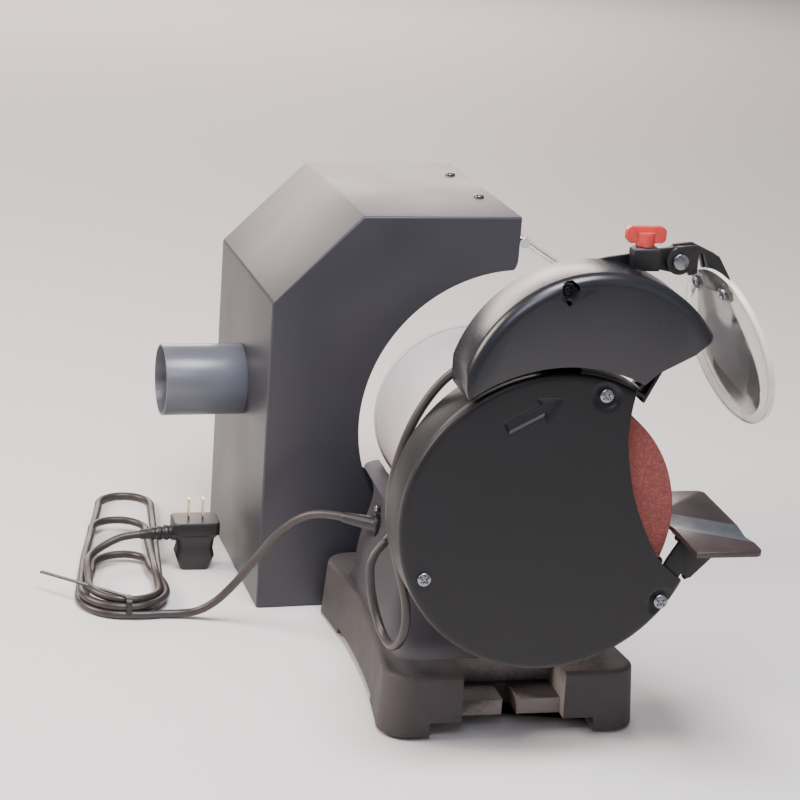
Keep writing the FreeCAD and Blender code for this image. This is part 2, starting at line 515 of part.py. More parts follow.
# Wheel guard: a drum with a mouth, screw posts for the cover and a lug for the lamp hood
drum_rim_x = COVER_X + COVER_RIM_DEPTH
drum_in = GUARD_R - GUARD_WALL
back_x = GUARD_BACK_X - GUARD_WALL
drum = turned([(GUARD_BACK_X, FLANGE_R + 2), (GUARD_BACK_X, GUARD_R - 3), (GUARD_BACK_X - 3, GUARD_R), (drum_rim_x, GUARD_R),
               (drum_rim_x, drum_in), (back_x - 1.5, drum_in), (back_x, drum_in - 1.5), (back_x, FLANGE_R + 2)])
far = 3 * GUARD_R
top_far, bottom_far = about_shaft(far, MOUTH_TOP_DEG), about_shaft(far, MOUTH_BOTTOM_DEG)
mouth = plate_x([about_shaft(0, 0), top_far, bottom_far], COVER_X - 20, GUARD_BACK_X - 3.2)
posts = [rod_x(SCREW_POST_R, back_x + 0.5, COVER_X + COVER_WALL, y, SHAFT_Z + z) for y, z in COVER_SCREWS]
dimple_floor = COVER_X + DIMPLE_DEPTH
posts[0] = rod_x(SCREW_POST_R, back_x + 0.5, dimple_floor + COVER_WALL, COVER_SCREWS[0][0], SHAFT_Z + COVER_SCREWS[0][1])
posts[-1] = rod_x(SCREW_POST_R, back_x + 0.5, drum_rim_x, COVER_SCREWS[-1][0], SHAFT_Z + COVER_SCREWS[-1][1])
post_holes = [rod_x(SCREW_R, COVER_X - 5, COVER_X + 22, y, SHAFT_Z + z) for y, z in COVER_SCREWS]
lug = block((LAMP_X[0] + 26, GUARD_BACK_X - 8), (-16, 16), (SHAFT_Z + drum_in, SHAFT_Z + LAMP_LIP_R))
lug = lug.common(rod_x(LAMP_LIP_R, LAMP_X[0], GUARD_BACK_X)).cut(rod_x(GUARD_R - 1, LAMP_X[0], GUARD_BACK_X))
guard_bolts = spaced(rod_x(3, back_x + 0.3, 12 + GUARD_BACK_X, z=SHAFT_Z + GUARD_BOLT_CIRCLE_R), (30, 150, 270))
guard_heads = spaced(rod_x(5, 12 + GUARD_BACK_X, 16 + GUARD_BACK_X, z=SHAFT_Z + GUARD_BOLT_CIRCLE_R), (30, 150, 270))

# The spark plate slides on a tab bent out from the drum at the top of its mouth
root, tip = Vector(0, *SPARK_ROOT), Vector(0, *SPARK_TIP)
slope = (tip - root).normalize()
facing = Vector(0, slope.z * -1, slope.y)          # out of the mouth, away from the drum
if facing.y > 0:
    facing = facing * -1
spark_x = WHEEL_FAR_X - WHEEL_WIDTH / 2


def leaned(along, across, x):
    """Bar along the spark plate's slope: distances from its root, thickness and width."""
    corners = [root + slope * a + facing * c for a, c in ((along[0], across[0]), (along[1], across[0]), (along[1], across[1]), (along[0], across[1]))]
    return plate_x([(p.y, p.z) for p in corners], x[0], x[1])


spark_length = (tip - root).Length
tab_x = (spark_x - SPARK_HALF_WIDTH + 4, spark_x + SPARK_HALF_WIDTH - 4)
tab = leaned((spark_length - 22, spark_length + 1), (-3.3, -SEAT_GAP), tab_x)
screw_along = spark_length - SPARK_SCREW_SETBACK


def spark_point(across, x=spark_x):
    p = root + slope * screw_along + facing * across
    return (x, p.y, p.z)


tab_hole = rod(2.5, spark_point(-6), spark_point(10))
# The working cut-out that the cover and the back plate share
work_side = plate_x([(-59, 320), (-53, 299), (-52, 250, (-49.5, 275)), (-82, 171.5, (-63.5, 208)), (-104, 151.5, (-92, 160.5)),
                     (-106, 146), (-170, 130), (-170, 320)], COVER_X - 10, GUARD_BACK_X + 1)
back_cut = work_side.common(block((GUARD_BACK_X - 4, GUARD_BACK_X + 1), (-200, 0), (0, 400)))
wheel_guard = drum.cut([mouth, back_cut]).fuse(posts + [lug, tab]).cut(post_holes + guard_bolts + [tab_hole])
NODES["wheel_guard"] = wheel_guard.removeSplitter()
NODES["guard_bolts"] = Part.makeCompound([joined(b, h) for b, h in zip(guard_bolts, guard_heads)])
NODES["end_bell_left"] = NODES["end_bell_left"].cut(guard_bolts)

slot = leaned((screw_along - 3, screw_along + SPARK_TRAVEL + 3), (-4, 8), (spark_x - 3, spark_x + 3))
spark = leaned((0, spark_length), (0, SPARK_THICK), (spark_x - SPARK_HALF_WIDTH, spark_x + SPARK_HALF_WIDTH)).cut(slot)
NODES["spark_plate"] = spark
spark_screw = joined(rod(2.5, spark_point(-6), spark_point(SPARK_THICK + 1)),
                     rod(5, spark_point(SPARK_THICK + SEAT_GAP), spark_point(SPARK_THICK + 3.3)))

# Cover: a shallow cap with the working cut-out
cover_profile = [Vector(COVER_X, 0, SHAFT_Z), Vector(COVER_X, 0, SHAFT_Z + GUARD_R - COVER_EDGE_R),
                 Vector(COVER_X + COVER_EDGE_R, 0, SHAFT_Z + GUARD_R), Vector(drum_rim_x, 0, SHAFT_Z + GUARD_R),
                 Vector(drum_rim_x, 0, SHAFT_Z + drum_in), Vector(COVER_X + COVER_EDGE_R, 0, SHAFT_Z + drum_in),
                 Vector(COVER_X + COVER_WALL, 0, SHAFT_Z + GUARD_R - COVER_EDGE_R), Vector(COVER_X + COVER_WALL, 0, SHAFT_Z)]
bend = math.sqrt(0.5)
outer_bend = Vector(COVER_X + COVER_EDGE_R * (1 - bend), 0, SHAFT_Z + GUARD_R - COVER_EDGE_R * (1 - bend))
inner_mid = (cover_profile[5] + cover_profile[6]) * 0.5 + Vector(-0.6, 0, 0.6)
edges = []
for i, start in enumerate(cover_profile):
    end = cover_profile[(i + 1) % len(cover_profile)]
    if i == 1:
        edges.append(Part.Arc(start, outer_bend, end).toShape())
    elif i == 5:
        edges.append(Part.Arc(start, inner_mid, end).toShape())
    else:
        edges.append(Part.LineSegment(start, end).toShape())
cap = Part.Face(Part.Wire(edges)).revolve(Vector(0, 0, SHAFT_Z), Vector(1, 0, 0), 360)
dimpled = (COVER_SCREWS[0], COVER_SCREWS[-1])


def dimple(grow, x0, y, z):
    return cone(DIMPLE_R + grow, DIMPLE_FLOOR_R + grow, (x0, y, SHAFT_Z + z), (x0 + DIMPLE_DEPTH, y, SHAFT_Z + z))


inside_rim = rod_x(GUARD_R - 0.5, COVER_X, drum_rim_x)
cover = joined(cap, *[dimple(COVER_WALL, COVER_X + COVER_WALL, y, z).common(inside_rim) for y, z in dimpled])
NODES["guard_cover"] = cover.cut([work_side] + post_holes + [dimple(0, COVER_X, y, z) for y, z in dimpled])


def cover_screw(y, z):
    seat = dimple_floor if (y, z) in dimpled else COVER_X
    return joined(rod_x(SCREW_R, seat - 0.5, COVER_X + 20, y, SHAFT_Z + z),
                  cone(SCREW_HEAD_R * 0.72, SCREW_HEAD_R, (seat - SCREW_HEAD, y, SHAFT_Z + z), (seat - SCREW_HEAD * 0.4, y, SHAFT_Z + z)),
                  rod_x(SCREW_HEAD_R, seat - SCREW_HEAD * 0.4, seat, y, SHAFT_Z + z))


cover_screws = [cover_screw(y, z) for y, z in COVER_SCREWS]

# Tool rest on its bracket
strap_x = (drum_rim_x - BRACKET_THICK, drum_rim_x)
ledge_z = (REST_TOP - REST_THICK - SEAT_GAP - BRACKET_THICK, REST_TOP - REST_THICK - SEAT_GAP)
rest_y1 = -math.sqrt(WHEEL_R ** 2 - (SHAFT_Z - REST_TOP) ** 2) - REST_WHEEL_GAP
rest_y0 = rest_y1 - REST_REACH
stud_y = rest_y1 - 13
stud_x = spark_x
ledge_y = (stud_y - REST_TRAVEL - 9, rest_y1 - 4)
strap = plate_x([(-82, 126), (-98, 126), (-113, 152), (ledge_y[0], ledge_z[0]), (ledge_y[0], ledge_z[1]), (ledge_y[1], ledge_z[1]),
                 (-93, 166), (-82, 142)], strap_x[0], strap_x[1])
ledge = block((strap_x[0], stud_x + 22), ledge_y, ledge_z)
gusset = plate_x([(ledge_y[1] - 6, ledge_z[0]), (ledge_y[0] + 4, ledge_z[0]), (-113, 152), (-108, 150)], strap_x[0], strap_x[1] + 3)
ledge_slot = joined(block((stud_x - 3.3, stud_x + 3.3), (stud_y - REST_TRAVEL, stud_y), (ledge_z[0] - 1, ledge_z[1] + 1)),
                    rod(3.3, (stud_x, stud_y, ledge_z[0] - 1), (stud_x, stud_y, ledge_z[1] + 1)),
                    rod(3.3, (stud_x, stud_y - REST_TRAVEL, ledge_z[0] - 1), (stud_x, stud_y - REST_TRAVEL, ledge_z[1] + 1)))
strap_way = plate_x([about_shaft(0, 0), top_far, about_shaft(far, MOUTH_BOTTOM_DEG - 3.5)], COVER_X - 20, GUARD_BACK_X)
band = rod_x(GUARD_R + 20, COVER_X - 5, GUARD_BACK_X).cut(rod_x(drum_in - SEAT_GAP, COVER_X - 6, GUARD_BACK_X + 1)).cut(strap_way)
strap = strap.cut(band)
NODES["rest_bracket"] = joined(strap, ledge, gusset).cut([ledge_slot, post_holes[-1]])
rest = block(REST_X, (rest_y0, rest_y1), (REST_TOP - REST_THICK, REST_TOP))
rest = rest.makeFillet(6, edges_where(rest, lambda p: p.y < rest_y0 + 0.1 and abs(abs(p.x - sum(REST_X) / 2) - (REST_X[1] - REST_X[0]) / 2) < 0.1))
groove_section = Part.Face(Part.makePolygon([Vector(0, 0, REST_TOP - GROOVE_DEPTH), Vector(-17, 0, REST_TOP + 0.4),
                                             Vector(17, 0, REST_TOP + 0.4), Vector(0, 0, REST_TOP - GROOVE_DEPTH)]))
groove = groove_section.extrude(Vector(0, 100, 0))
groove.translate(Vector(0, -50, 0))
groove.rotate(Vector(0, 0, 0), Vector(0, 0, 1), -31)
groove.translate(Vector(-169, (rest_y0 + rest_y1) / 2, 0))
NODES["tool_rest"] = rest.cut(groove)
NODES["rest_bolt"] = joined(rod(3, (stud_x, stud_y, REST_TOP - REST_THICK - 22), (stud_x, stud_y, REST_TOP - REST_THICK)),
                            rod(8, (stud_x, stud_y, ledge_z[0] - SEAT_GAP - 1.5), (stud_x, stud_y, ledge_z[0] - SEAT_GAP)),
                            rod(5.5, (stud_x, stud_y, ledge_z[0] - SEAT_GAP - 6.5), (stud_x, stud_y, ledge_z[0] - SEAT_GAP - 1.5)))

# Lamp hood: a moulded shell over the guard, open towards the work, with lamp inside


def lamp_outline(inset):
    """Rear lip, crown, nose and lower edge of the hood, moved inwards."""
    cy, cz = LAMP_CENTRE
    r, lip = LAMP_R - inset, LAMP_LIP_R + inset
    rear_y = 74.0 - inset
    rear = (rear_y, SHAFT_Z + math.sqrt(lip ** 2 - rear_y ** 2))
    rear_top = (rear_y + (1.5 if inset == 0 else 0), rear[1] + 7)
    on_crown = (cy + r * math.cos(math.radians(17)), cz + r * math.sin(math.radians(17)))
    nose = (cy + r * math.cos(math.radians(146)), cz + r * math.sin(math.radians(146)))
    crown = (cy + r * math.cos(math.radians(80)), cz + r * math.sin(math.radians(80)))
    lip_front = (-56.0, SHAFT_Z + math.sqrt(lip ** 2 - 56.0 ** 2))
    return [rear, rear_top, on_crown, (nose[0], nose[1], crown), (-103.0, 338.5), (-92.0, 329.0), (-66.0, 315.5),
            lip_front, (rear[0], rear[1], (0.0, SHAFT_Z + lip))][:-1], (0.0, SHAFT_Z + lip)


def lamp_body(inset, x0, x1, open_front):
    outline, lip_via = lamp_outline(inset)
    if open_front:
        outline = [p for p in outline if p[:2] not in ((-103.0, 338.5), (-92.0, 329.0), (-66.0, 315.5))]
        front = outline[-1]
        outline = outline[:-1] + [(-140.0, 320.0), (-75.0, 290.0), front]
    rear = outline[0]
    closed = outline[1:] + [(rear[0], rear[1], lip_via)]
    return plate_x(closed, x0, x1)


lamp_outer = lamp_body(0, LAMP_X[0], LAMP_X[1], False)
near_edges = [e for e in lamp_outer.Edges if e.Length > 60 and all(abs(v.Point.x - LAMP_X[0]) < 0.01 for v in e.Vertexes)
              and e.CenterOfMass.z > SHAFT_Z + LAMP_LIP_R + 20]
lamp_outer = lamp_outer.makeFillet(LAMP_EDGE_R, near_edges)
lamp_inner = lamp_body(LAMP_WALL, LAMP_X[0] + LAMP_WALL, LAMP_X[1] - LAMP_WALL, True)
inner_near = [e for e in lamp_inner.Edges if e.Length > 60 and all(abs(v.Point.x - LAMP_X[0] - LAMP_WALL) < 0.01 for v in e.Vertexes)
              and e.CenterOfMass.z > SHAFT_Z + LAMP_LIP_R + 20]
lamp_inner = lamp_inner.makeFillet(LAMP_EDGE_R - LAMP_WALL, inner_near)
screw_y, screw_z = LAMP_SCREW
recess_x = LAMP_X[0] + 9
recess = rod_x(5, LAMP_X[0] - 5, recess_x, screw_y, screw_z - 2)
recess_wall = rod_x(7, LAMP_X[0] + 1, recess_x + 2, screw_y, screw_z - 2).common(lamp_outer)
lamp_hood = joined(lamp_outer.cut(lamp_inner), recess_wall).cut([recess, rod_x(SCREW_R, recess_x - 1, LAMP_X[1], screw_y, screw_z - 2)])
lamp_cord_exit = Vector(*LAMP_CORD_ROUTE[0]) - LAMP_CORD_START
NODES["lamp_hood"] = lamp_hood.cut(rod(CORD_R + 0.4, LAMP_CORD_START - lamp_cord_exit * 0.6, Vector(*LAMP_CORD_ROUTE[0])))
lamp_hood_screw = joined(rod_x(4, recess_x - 2.4, recess_x, screw_y, screw_z - 2),
                         rod_x(SCREW_R, recess_x - 1, LAMP_X[1] - LAMP_WALL, screw_y, screw_z - 2))
NODES["guard_screws"] = Part.makeCompound(cover_screws + [spark_screw, lamp_hood_screw])
lamp_mid = (LAMP_X[0] + LAMP_X[1]) / 2
socket_post = block((lamp_mid - 6, lamp_mid + 6), (2, 14), (SHAFT_Z + LAMP_LIP_R + LAMP_WALL - 0.2, SOCKET_Z - SOCKET_R + 2))
NODES["lamp_socket"] = joined(rod(SOCKET_R, (lamp_mid, -12, SOCKET_Z), (lamp_mid, 24, SOCKET_Z)), socket_post).cut(NODES["lamp_hood"])
bulb = joined(Part.makeSphere(BULB_R, Vector(lamp_mid, -46, SOCKET_Z)),
              cone(8, 11, (lamp_mid, -12, SOCKET_Z), (lamp_mid, -38, SOCKET_Z)))
NODES["lamp_bulb"] = bulb

# Eye shield on its friction hinge
bracket_x = (LAMP_X[1], LAMP_X[1] + 3)
strip = plate_x([(14, 364), (14, 376), (-34, 389), (-62, 393), (-62, 383), (-34, 377)], bracket_x[0], bracket_x[1])
NODES["shield_bracket"] = strip.cut(rod_x(SCREW_R, recess_x, bracket_x[1] + 1, screw_y, screw_z - 2))
clamp = block((KNOB_AT[0] - 8, bracket_x[1]), (-70, -50), (LAMP_CENTRE[1] + 96, 399))
clamp = clamp.cut(block((bracket_x[0], bracket_x[1] + 1), (-75, -40), (360, 410)))
clamp = clamp.makeFillet(3, edges_where(clamp, lambda p: abs(p.z - 399) < 0.01))
clamp = clamp.cut(rod_x(LAMP_R + SEAT_GAP, -220, -100, *LAMP_CENTRE))
ear_mid = KNOB_AT[0]
py, pz = PIVOT
knuckle = joined(rod_x(PIVOT_R, ear_mid - EAR_THICK / 2, ear_mid + EAR_THICK / 2, py, pz),
                 plate_x([(-66, 383), (-66, 396), (py, pz + PIVOT_R), (py, pz - PIVOT_R)], ear_mid - EAR_THICK / 2, ear_mid + EAR_THICK / 2))
clamp = joined(clamp, knuckle).cut([rod_x(PIVOT_PIN_R, ear_mid - 20, ear_mid + 20, py, pz),
                                    rod(3.05, (KNOB_AT[0], KNOB_AT[1], 385), (KNOB_AT[0], KNOB_AT[1], 401))])
NODES["shield_clamp"] = clamp
knob_z = 399 + SEAT_GAP
hub = joined(rod(7, (KNOB_AT[0], KNOB_AT[1], knob_z), (KNOB_AT[0], KNOB_AT[1], knob_z + 10)),
             rod(3, (KNOB_AT[0], KNOB_AT[1], 386), (KNOB_AT[0], KNOB_AT[1], knob_z + 1)))
wing = block((KNOB_AT[0] - 2.5, KNOB_AT[0] + 2.5), (KNOB_AT[1] - KNOB_R, KNOB_AT[1] + KNOB_R), (knob_z + 2, knob_z + 14))
wing = wing.makeFillet(4, edges_where(wing, lambda p: abs(abs(p.y - KNOB_AT[1]) - KNOB_R) < 0.01 and (p.z > knob_z + 13.9 or p.z < knob_z + 2.1)))
NODES["clamp_knob"] = joined(hub, wing)

pin_x = (ear_mid - EAR_THICK * 1.5 - EAR_GAP - 3, ear_mid + EAR_THICK * 1.5 + EAR_GAP + 3)
NODES["pivot_bolt"] = joined(rod_x(PIVOT_PIN_R, pin_x[0], pin_x[1], py, pz), rod_x(6, pin_x[0] - 0.01, pin_x[0] + 2.6, py, pz),
                             rod_x(6, pin_x[1] - 2.6, pin_x[1] + 0.01, py, pz))

normal = Vector(SHIELD_NORMAL).normalize()
across = (Vector(1, 0, 0) - normal * normal.x).normalize()
upward = normal.cross(across)
if upward.z < 0:
    upward = upward * -1


def on_shield(u, v, w):
    """Point at u across, v up and w in front of the shield's rear face."""
    return SHIELD_CENTRE + across * u + upward * v + normal * w


def shield_rod(radius, u, v, w0, w1):
    a, b = on_shield(u, v, w0), on_shield(u, v, w1)
    return Part.makeCylinder(radius, (b - a).Length, a, b - a)


def shield_bar(u, v, w):
    """Box between two values of u, v and w."""
    corners = [on_shield(uu, vv, w[0]) for uu, vv in ((u[0], v[0]), (u[1], v[0]), (u[1], v[1]), (u[0], v[1]))]
    face = Part.Face(Part.makePolygon(corners + corners[:1]))
    return face.extrude(normal * (w[1] - w[0]))


screw_v = SHIELD_R - SHIELD_SCREW_DROP
screw_us = (8 - SHIELD_SCREW_SPAN / 2, 8 + SHIELD_SCREW_SPAN / 2)
disc = shield_rod(SHIELD_R, 0, 0, 0, SHIELD_THICK)
rim = shield_rod(SHIELD_R, 0, 0, SHIELD_THICK - 0.5, SHIELD_THICK + 1.5).cut(shield_rod(SHIELD_R - SHIELD_RIM, 0, 0, 0, SHIELD_THICK + 3))
shield_holes = [shield_rod(2.5, u, screw_v, -6, 14) for u in screw_us]
arm_seat = SHIELD_THICK
arm_bar = shield_bar((screw_us[0] - 7, screw_us[1] + 7), (screw_v - 6.5, screw_v + 6.5), (arm_seat, arm_seat + 4))
rim = rim.cut(shield_bar((screw_us[0] - 9, screw_us[1] + 9), (screw_v - 8, SHIELD_R + 5), (0, arm_seat + 6)).cut(shield_bar((-80, 80), (-80, 80), (-1, SHIELD_THICK))))
NODES["eye_shield"] = joined(disc, rim).cut(shield_holes)
ball_r = (LENS_R ** 2 + LENS_RISE ** 2) / (2 * LENS_RISE)
ball = Part.makeSphere(ball_r, on_shield(0, -14, SHIELD_THICK + LENS_RISE - ball_r))
NODES["shield_lens"] = ball.common(shield_rod(LENS_R + 5, 0, -14, SHIELD_THICK, SHIELD_THICK + 20))

fork_out = EAR_THICK * 1.5 + EAR_GAP
fork_outline = [(py + 3, pz + PIVOT_R + 0.5), (py - 12, pz + 12), (py - 30, pz + 4), (py - 40, pz - 12), (py - 37.6, pz - 25), (py - 30.5, pz - 24.5), (py - 30.5, pz - 15), (py - 27, pz - 5), (py - 8, pz - PIVOT_R - 0.5)]
cheeks = [plate_x(fork_outline, ear_mid + s, ear_mid + s + EAR_THICK) for s in (-fork_out, EAR_THICK / 2 + EAR_GAP)]
cheek_discs = [rod_x(PIVOT_R, ear_mid + s, ear_mid + s + EAR_THICK, py, pz) for s in (-fork_out, EAR_THICK / 2 + EAR_GAP)]
clear_of_disc = shield_bar((-80, 80), (-80, 80), (-30, arm_seat))
bridge = plate_x([(py - 40, pz - 12), (py - 37.6, pz - 25), (py - 30.5, pz - 24.5), (py - 30.5, pz - 15)], ear_mid - fork_out, ear_mid + fork_out)
arm = joined(*(cheeks + cheek_discs + [bridge, arm_bar]))
arm = arm.cut([clear_of_disc.common(block((-300, 0), (-200, py - 14), (200, pz + 6)))] + shield_holes + [rod_x(PIVOT_PIN_R + RUN_CLEARANCE, -200, -100, py, pz)])
NODES["shield_arm"] = arm
NODES["shield_screws"] = Part.makeCompound([
    joined(shield_rod(2.5, u, screw_v, -2.5, arm_seat + 4), shield_rod(4.5, u, screw_v, -2.5, 0), shield_rod(3.5, u, screw_v, arm_seat + 4, arm_seat + 7))
    for u in screw_us])

# Suction hood: a folded wrapper between two cut-out side panels
angle_in = HOOD_SHEET * math.tan(math.radians(22.5))
shoulder = HOOD_HEIGHT - HOOD_CHAMFER
outer = [(-HOOD_DEPTH, 0), (0, 0), (0, shoulder), (-HOOD_CHAMFER, HOOD_HEIGHT), (-HOOD_DEPTH, HOOD_HEIGHT)]
t = HOOD_SHEET
inner = [(-HOOD_DEPTH - 1, t), (-t, t), (-t, shoulder - angle_in), (-HOOD_CHAMFER - angle_in, HOOD_HEIGHT - t), (-HOOD_DEPTH - 1, HOOD_HEIGHT - t)]
wrap = plate_x(outer, t, HOOD_WIDTH - t).cut(plate_x(inner, 0, HOOD_WIDTH))
duct_x = HOOD_WIDTH / 2
duct_hole = rod(DUCT_R - DUCT_NECK, (duct_x, -10, DUCT_Z), (duct_x, 10, DUCT_Z))
bracket_mids = (VISOR_NEAR_BRACKET, HOOD_WIDTH - VISOR_FAR_BRACKET)
screw_spots = [(x, -HOOD_DEPTH + 15) for x in bracket_mids]
top_holes = [rod(SCREW_R, (x, y, HOOD_HEIGHT - 8), (x, y, HOOD_HEIGHT + 2)) for x, y in screw_spots]
NODES["hood_wrap"] = in_hood(wrap.cut([duct_hole] + top_holes))

cut_half = (HOOD_HEIGHT - CUTOUT_TOP_LAND - CUTOUT_FOOT_LAND) / 2
cut_y, cut_z = -HOOD_DEPTH - CUTOUT_AHEAD, CUTOUT_FOOT_LAND + cut_half
panel = plate_x(outer, 0, t).cut(rod_x(math.hypot(cut_half, CUTOUT_AHEAD), -1, t + 1, cut_y, cut_z))
upper = edges_where(panel, lambda p: abs(p.y + HOOD_DEPTH) < 0.01 and abs(p.z - cut_z - cut_half) < 0.5)
panel = panel.makeFillet(CUTOUT_LIP_R, upper)
lower = edges_where(panel, lambda p: abs(p.y + HOOD_DEPTH) < 0.01 and abs(p.z - cut_z + cut_half) < 0.5)
panel = panel.makeFillet(CUTOUT_LOWER_R, lower)
far_panel = panel.copy()
far_panel.translate(Vector(HOOD_WIDTH - t, 0, 0))
NODES["hood_side_near"] = in_hood(panel)
NODES["hood_side_far"] = in_hood(far_panel)

duct_wall = HOOD_SHEET
bore_r = DUCT_R - DUCT_NECK - duct_wall
duct = joined(rod(DUCT_R - DUCT_NECK, (duct_x, -t - duct_wall, DUCT_Z), (duct_x, DUCT_NECK * 2, DUCT_Z)),
              rod(DUCT_R, (duct_x, DUCT_NECK, DUCT_Z), (duct_x, DUCT_LENGTH, DUCT_Z)),
              rod(DUCT_R + DUCT_FLANGE, (duct_x, -t - duct_wall, DUCT_Z), (duct_x, -t, DUCT_Z)))
duct = duct.cut([rod(bore_r, (duct_x, -20, DUCT_Z), (duct_x, DUCT_LENGTH, DUCT_Z)),
                 rod(DUCT_R - duct_wall, (duct_x, DUCT_NECK + duct_wall, DUCT_Z), (duct_x, DUCT_LENGTH + 1, DUCT_Z))])
NODES["duct_collar"] = in_hood(duct)

hy, hz = -HOOD_DEPTH - HINGE_AHEAD, HOOD_HEIGHT - HINGE_DROP
bracket_outline = [(-HOOD_DEPTH + 24, HOOD_HEIGHT - t), (-HOOD_DEPTH - 1, HOOD_HEIGHT - t), (hy - 4, hz + 4), (hy - 5, hz - 3), (hy, hz - 5, (hy - 3.8, hz - 4.4)),
                   (hy + 5, hz, (hy + 3.6, hz - 3.6)), (-HOOD_DEPTH + 5, HOOD_HEIGHT - t - 5), (-HOOD_DEPTH + 8, HOOD_HEIGHT - t - 2), (-HOOD_DEPTH + 24, HOOD_HEIGHT - t - 2)]
brackets = [plate_x(bracket_outline, x - BRACKET_WIDTH / 2, x + BRACKET_WIDTH / 2) for x in bracket_mids]
rod_ends = (4.0, HOOD_WIDTH - 4.0)
hinge_rod = rod_x(VISOR_ROD_R, rod_ends[0], rod_ends[1], hy, hz)
NODES["visor_brackets"] = in_hood(Part.makeCompound([b.cut([hinge_rod] + top_holes) for b in brackets]))
NODES["visor_rod"] = in_hood(joined(hinge_rod, rod_x(4.5, rod_ends[0] - 3, rod_ends[0], hy, hz), rod_x(4.5, rod_ends[1], rod_ends[1] + 3, hy, hz)))
NODES["hood_screws"] = in_hood(Part.makeCompound([
    joined(rod(SCREW_R, (x, y, HOOD_HEIGHT - 8), (x, y, HOOD_HEIGHT + 0.5)), rod(4.2, (x, y, HOOD_HEIGHT), (x, y, HOOD_HEIGHT + 2.4))) for x, y in screw_spots]))

barrel_x = (bracket_mids[0] + BRACKET_WIDTH / 2 + 0.5, bracket_mids[1] - BRACKET_WIDTH / 2 - 0.5)
barrel = rod_x(5.5, barrel_x[0], barrel_x[1], hy, hz).cut(rod_x(VISOR_ROD_R + RUN_CLEARANCE, -5, HOOD_WIDTH + 5, hy, hz))
web = block(barrel_x, (hy - 14, hy - 4), (hz - VISOR_THICK / 2 - 2, hz - VISOR_THICK / 2)).cut(rod_x(5.0, 0, HOOD_WIDTH, hy, hz))
glass = block((VISOR_SIDE_GAP, HOOD_WIDTH - VISOR_SIDE_GAP), (hy - VISOR_LENGTH, hy - 7), (hz - VISOR_THICK / 2, hz + VISOR_THICK / 2))
glass = glass.makeFillet(12, edges_where(glass, lambda p: p.y < hy - VISOR_LENGTH + 0.1 and (p.x < VISOR_SIDE_GAP + 0.1 or p.x > HOOD_WIDTH - VISOR_SIDE_GAP - 0.1)))
notch_half = BRACKET_WIDTH / 2 + 1.5
glass = glass.cut([block((x - notch_half, x + notch_half), (hy - 7 - VISOR_NOTCH, hy), (hz - 5, hz + 5)) for x in bracket_mids])


def drooped(shape):
    turned_down = shape.copy()
    turned_down.rotate(Vector(0, hy, hz), Vector(1, 0, 0), VISOR_DROOP)
    return turned_down


NODES["visor"] = in_hood(drooped(glass))
NODES["visor_barrel"] = in_hood(drooped(joined(barrel, web)))

# Cords, hank and plug
NODES["lamp_cord"] = cord_tube("lamp_cord", LAMP_CORD_START, LAMP_CORD_ROUTE + [lamp_gland_end])
NODES["power_cord"] = cord_tube("power_cord", gland_end, CORD_ROUTE)

(nx, ny, nr), (fx, fy, fr) = HANK_NEAR, HANK_FAR
span = math.hypot(fx - nx, fy - ny)
lean = math.atan2(fy - ny, fx - nx)
swing = math.acos((nr - fr) / span)


def rim_point(cx, cy, r, angle):
    return Vector(cx + r * math.cos(angle), cy + r * math.sin(angle), 0.3)


near_a, near_b = rim_point(nx, ny, nr, lean + swing), rim_point(nx, ny, nr, lean - swing)
far_a, far_b = rim_point(fx, fy, fr, lean + swing), rim_point(fx, fy, fr, lean - swing)
hank_wire = Part.Wire([Part.Arc(near_a, rim_point(nx, ny, nr, lean + math.pi), near_b).toShape(), Part.LineSegment(near_b, far_b).toShape(),
                       Part.Arc(far_b, rim_point(fx, fy, fr, lean), far_a).toShape(), Part.LineSegment(far_a, near_a).toShape()])
NODES["cord_hank"] = Part.Face(hank_wire).extrude(Vector(0, 0, HANK_THICK - 0.3))
tie_x, tie_y = nx - nr + TIE_HALF[0] - 2, ny


def tie_loop(inset, half_y):
    """Rounded block round the bundle at the hank's near end."""
    x, z = TIE_HALF[0] - inset, (0.1 + inset, HANK_THICK + 3 - inset)
    loop = block((tie_x - x, tie_x + x), (tie_y - half_y, tie_y + half_y), z)
    return loop.makeFillet(5 - inset, [e for e in loop.Edges if abs(e.Length - 2 * half_y) < 0.01])


tail = block((0, TIE_TAIL), (-TIE_HALF[1] * 0.75, TIE_HALF[1] * 0.75), (HANK_THICK + 3 - TIE_THICK, HANK_THICK + 3))
tail.Placement = Placement(Vector(tie_x, tie_y, 0), Rotation(Vector(0, 0, 1), TIE_TAIL_TURN))
NODES["cable_tie"] = joined(tie_loop(0, TIE_HALF[1]).cut(tie_loop(TIE_THICK, TIE_HALF[1] + 5)), tail)

plug_x, plug_y = PLUG_AT
plug = Part.makeLoft([rounded(PLUG_FOOT[0] / 2, PLUG_FOOT[1] / 2, 7, 0), rounded(PLUG_TOP[0] / 2, PLUG_TOP[1] / 2, 7, PLUG_HEIGHT)], True, True)
plug = plug.makeChamfer(2, edges_where(plug, lambda p: p.z > PLUG_HEIGHT - 0.1))
plug.translate(Vector(plug_x, plug_y, 0))
relief_start = Vector(plug_x, plug_y + PLUG_TOP[1] / 2 - 4, PLUG_HEIGHT - 13)
relief_end = relief_start + Vector(0, RELIEF_LENGTH + 4, -2)
NODES["plug_body"] = joined(plug, cone(6.5, CORD_R + 0.8, relief_start, relief_end))
NODES["plug_pins"] = Part.makeCompound([
    block((plug_x - 3.15, plug_x + 3.15), (plug_y + s * PIN_SPACING / 2 - 0.75, plug_y + s * PIN_SPACING / 2 + 0.75), (PLUG_HEIGHT, PLUG_HEIGHT + PIN_LENGTH))
    for s in (-1, 1)])
NODES["plug_cord"] = cord_tube("plug_cord", relief_end, PLUG_CORD_ROUTE)

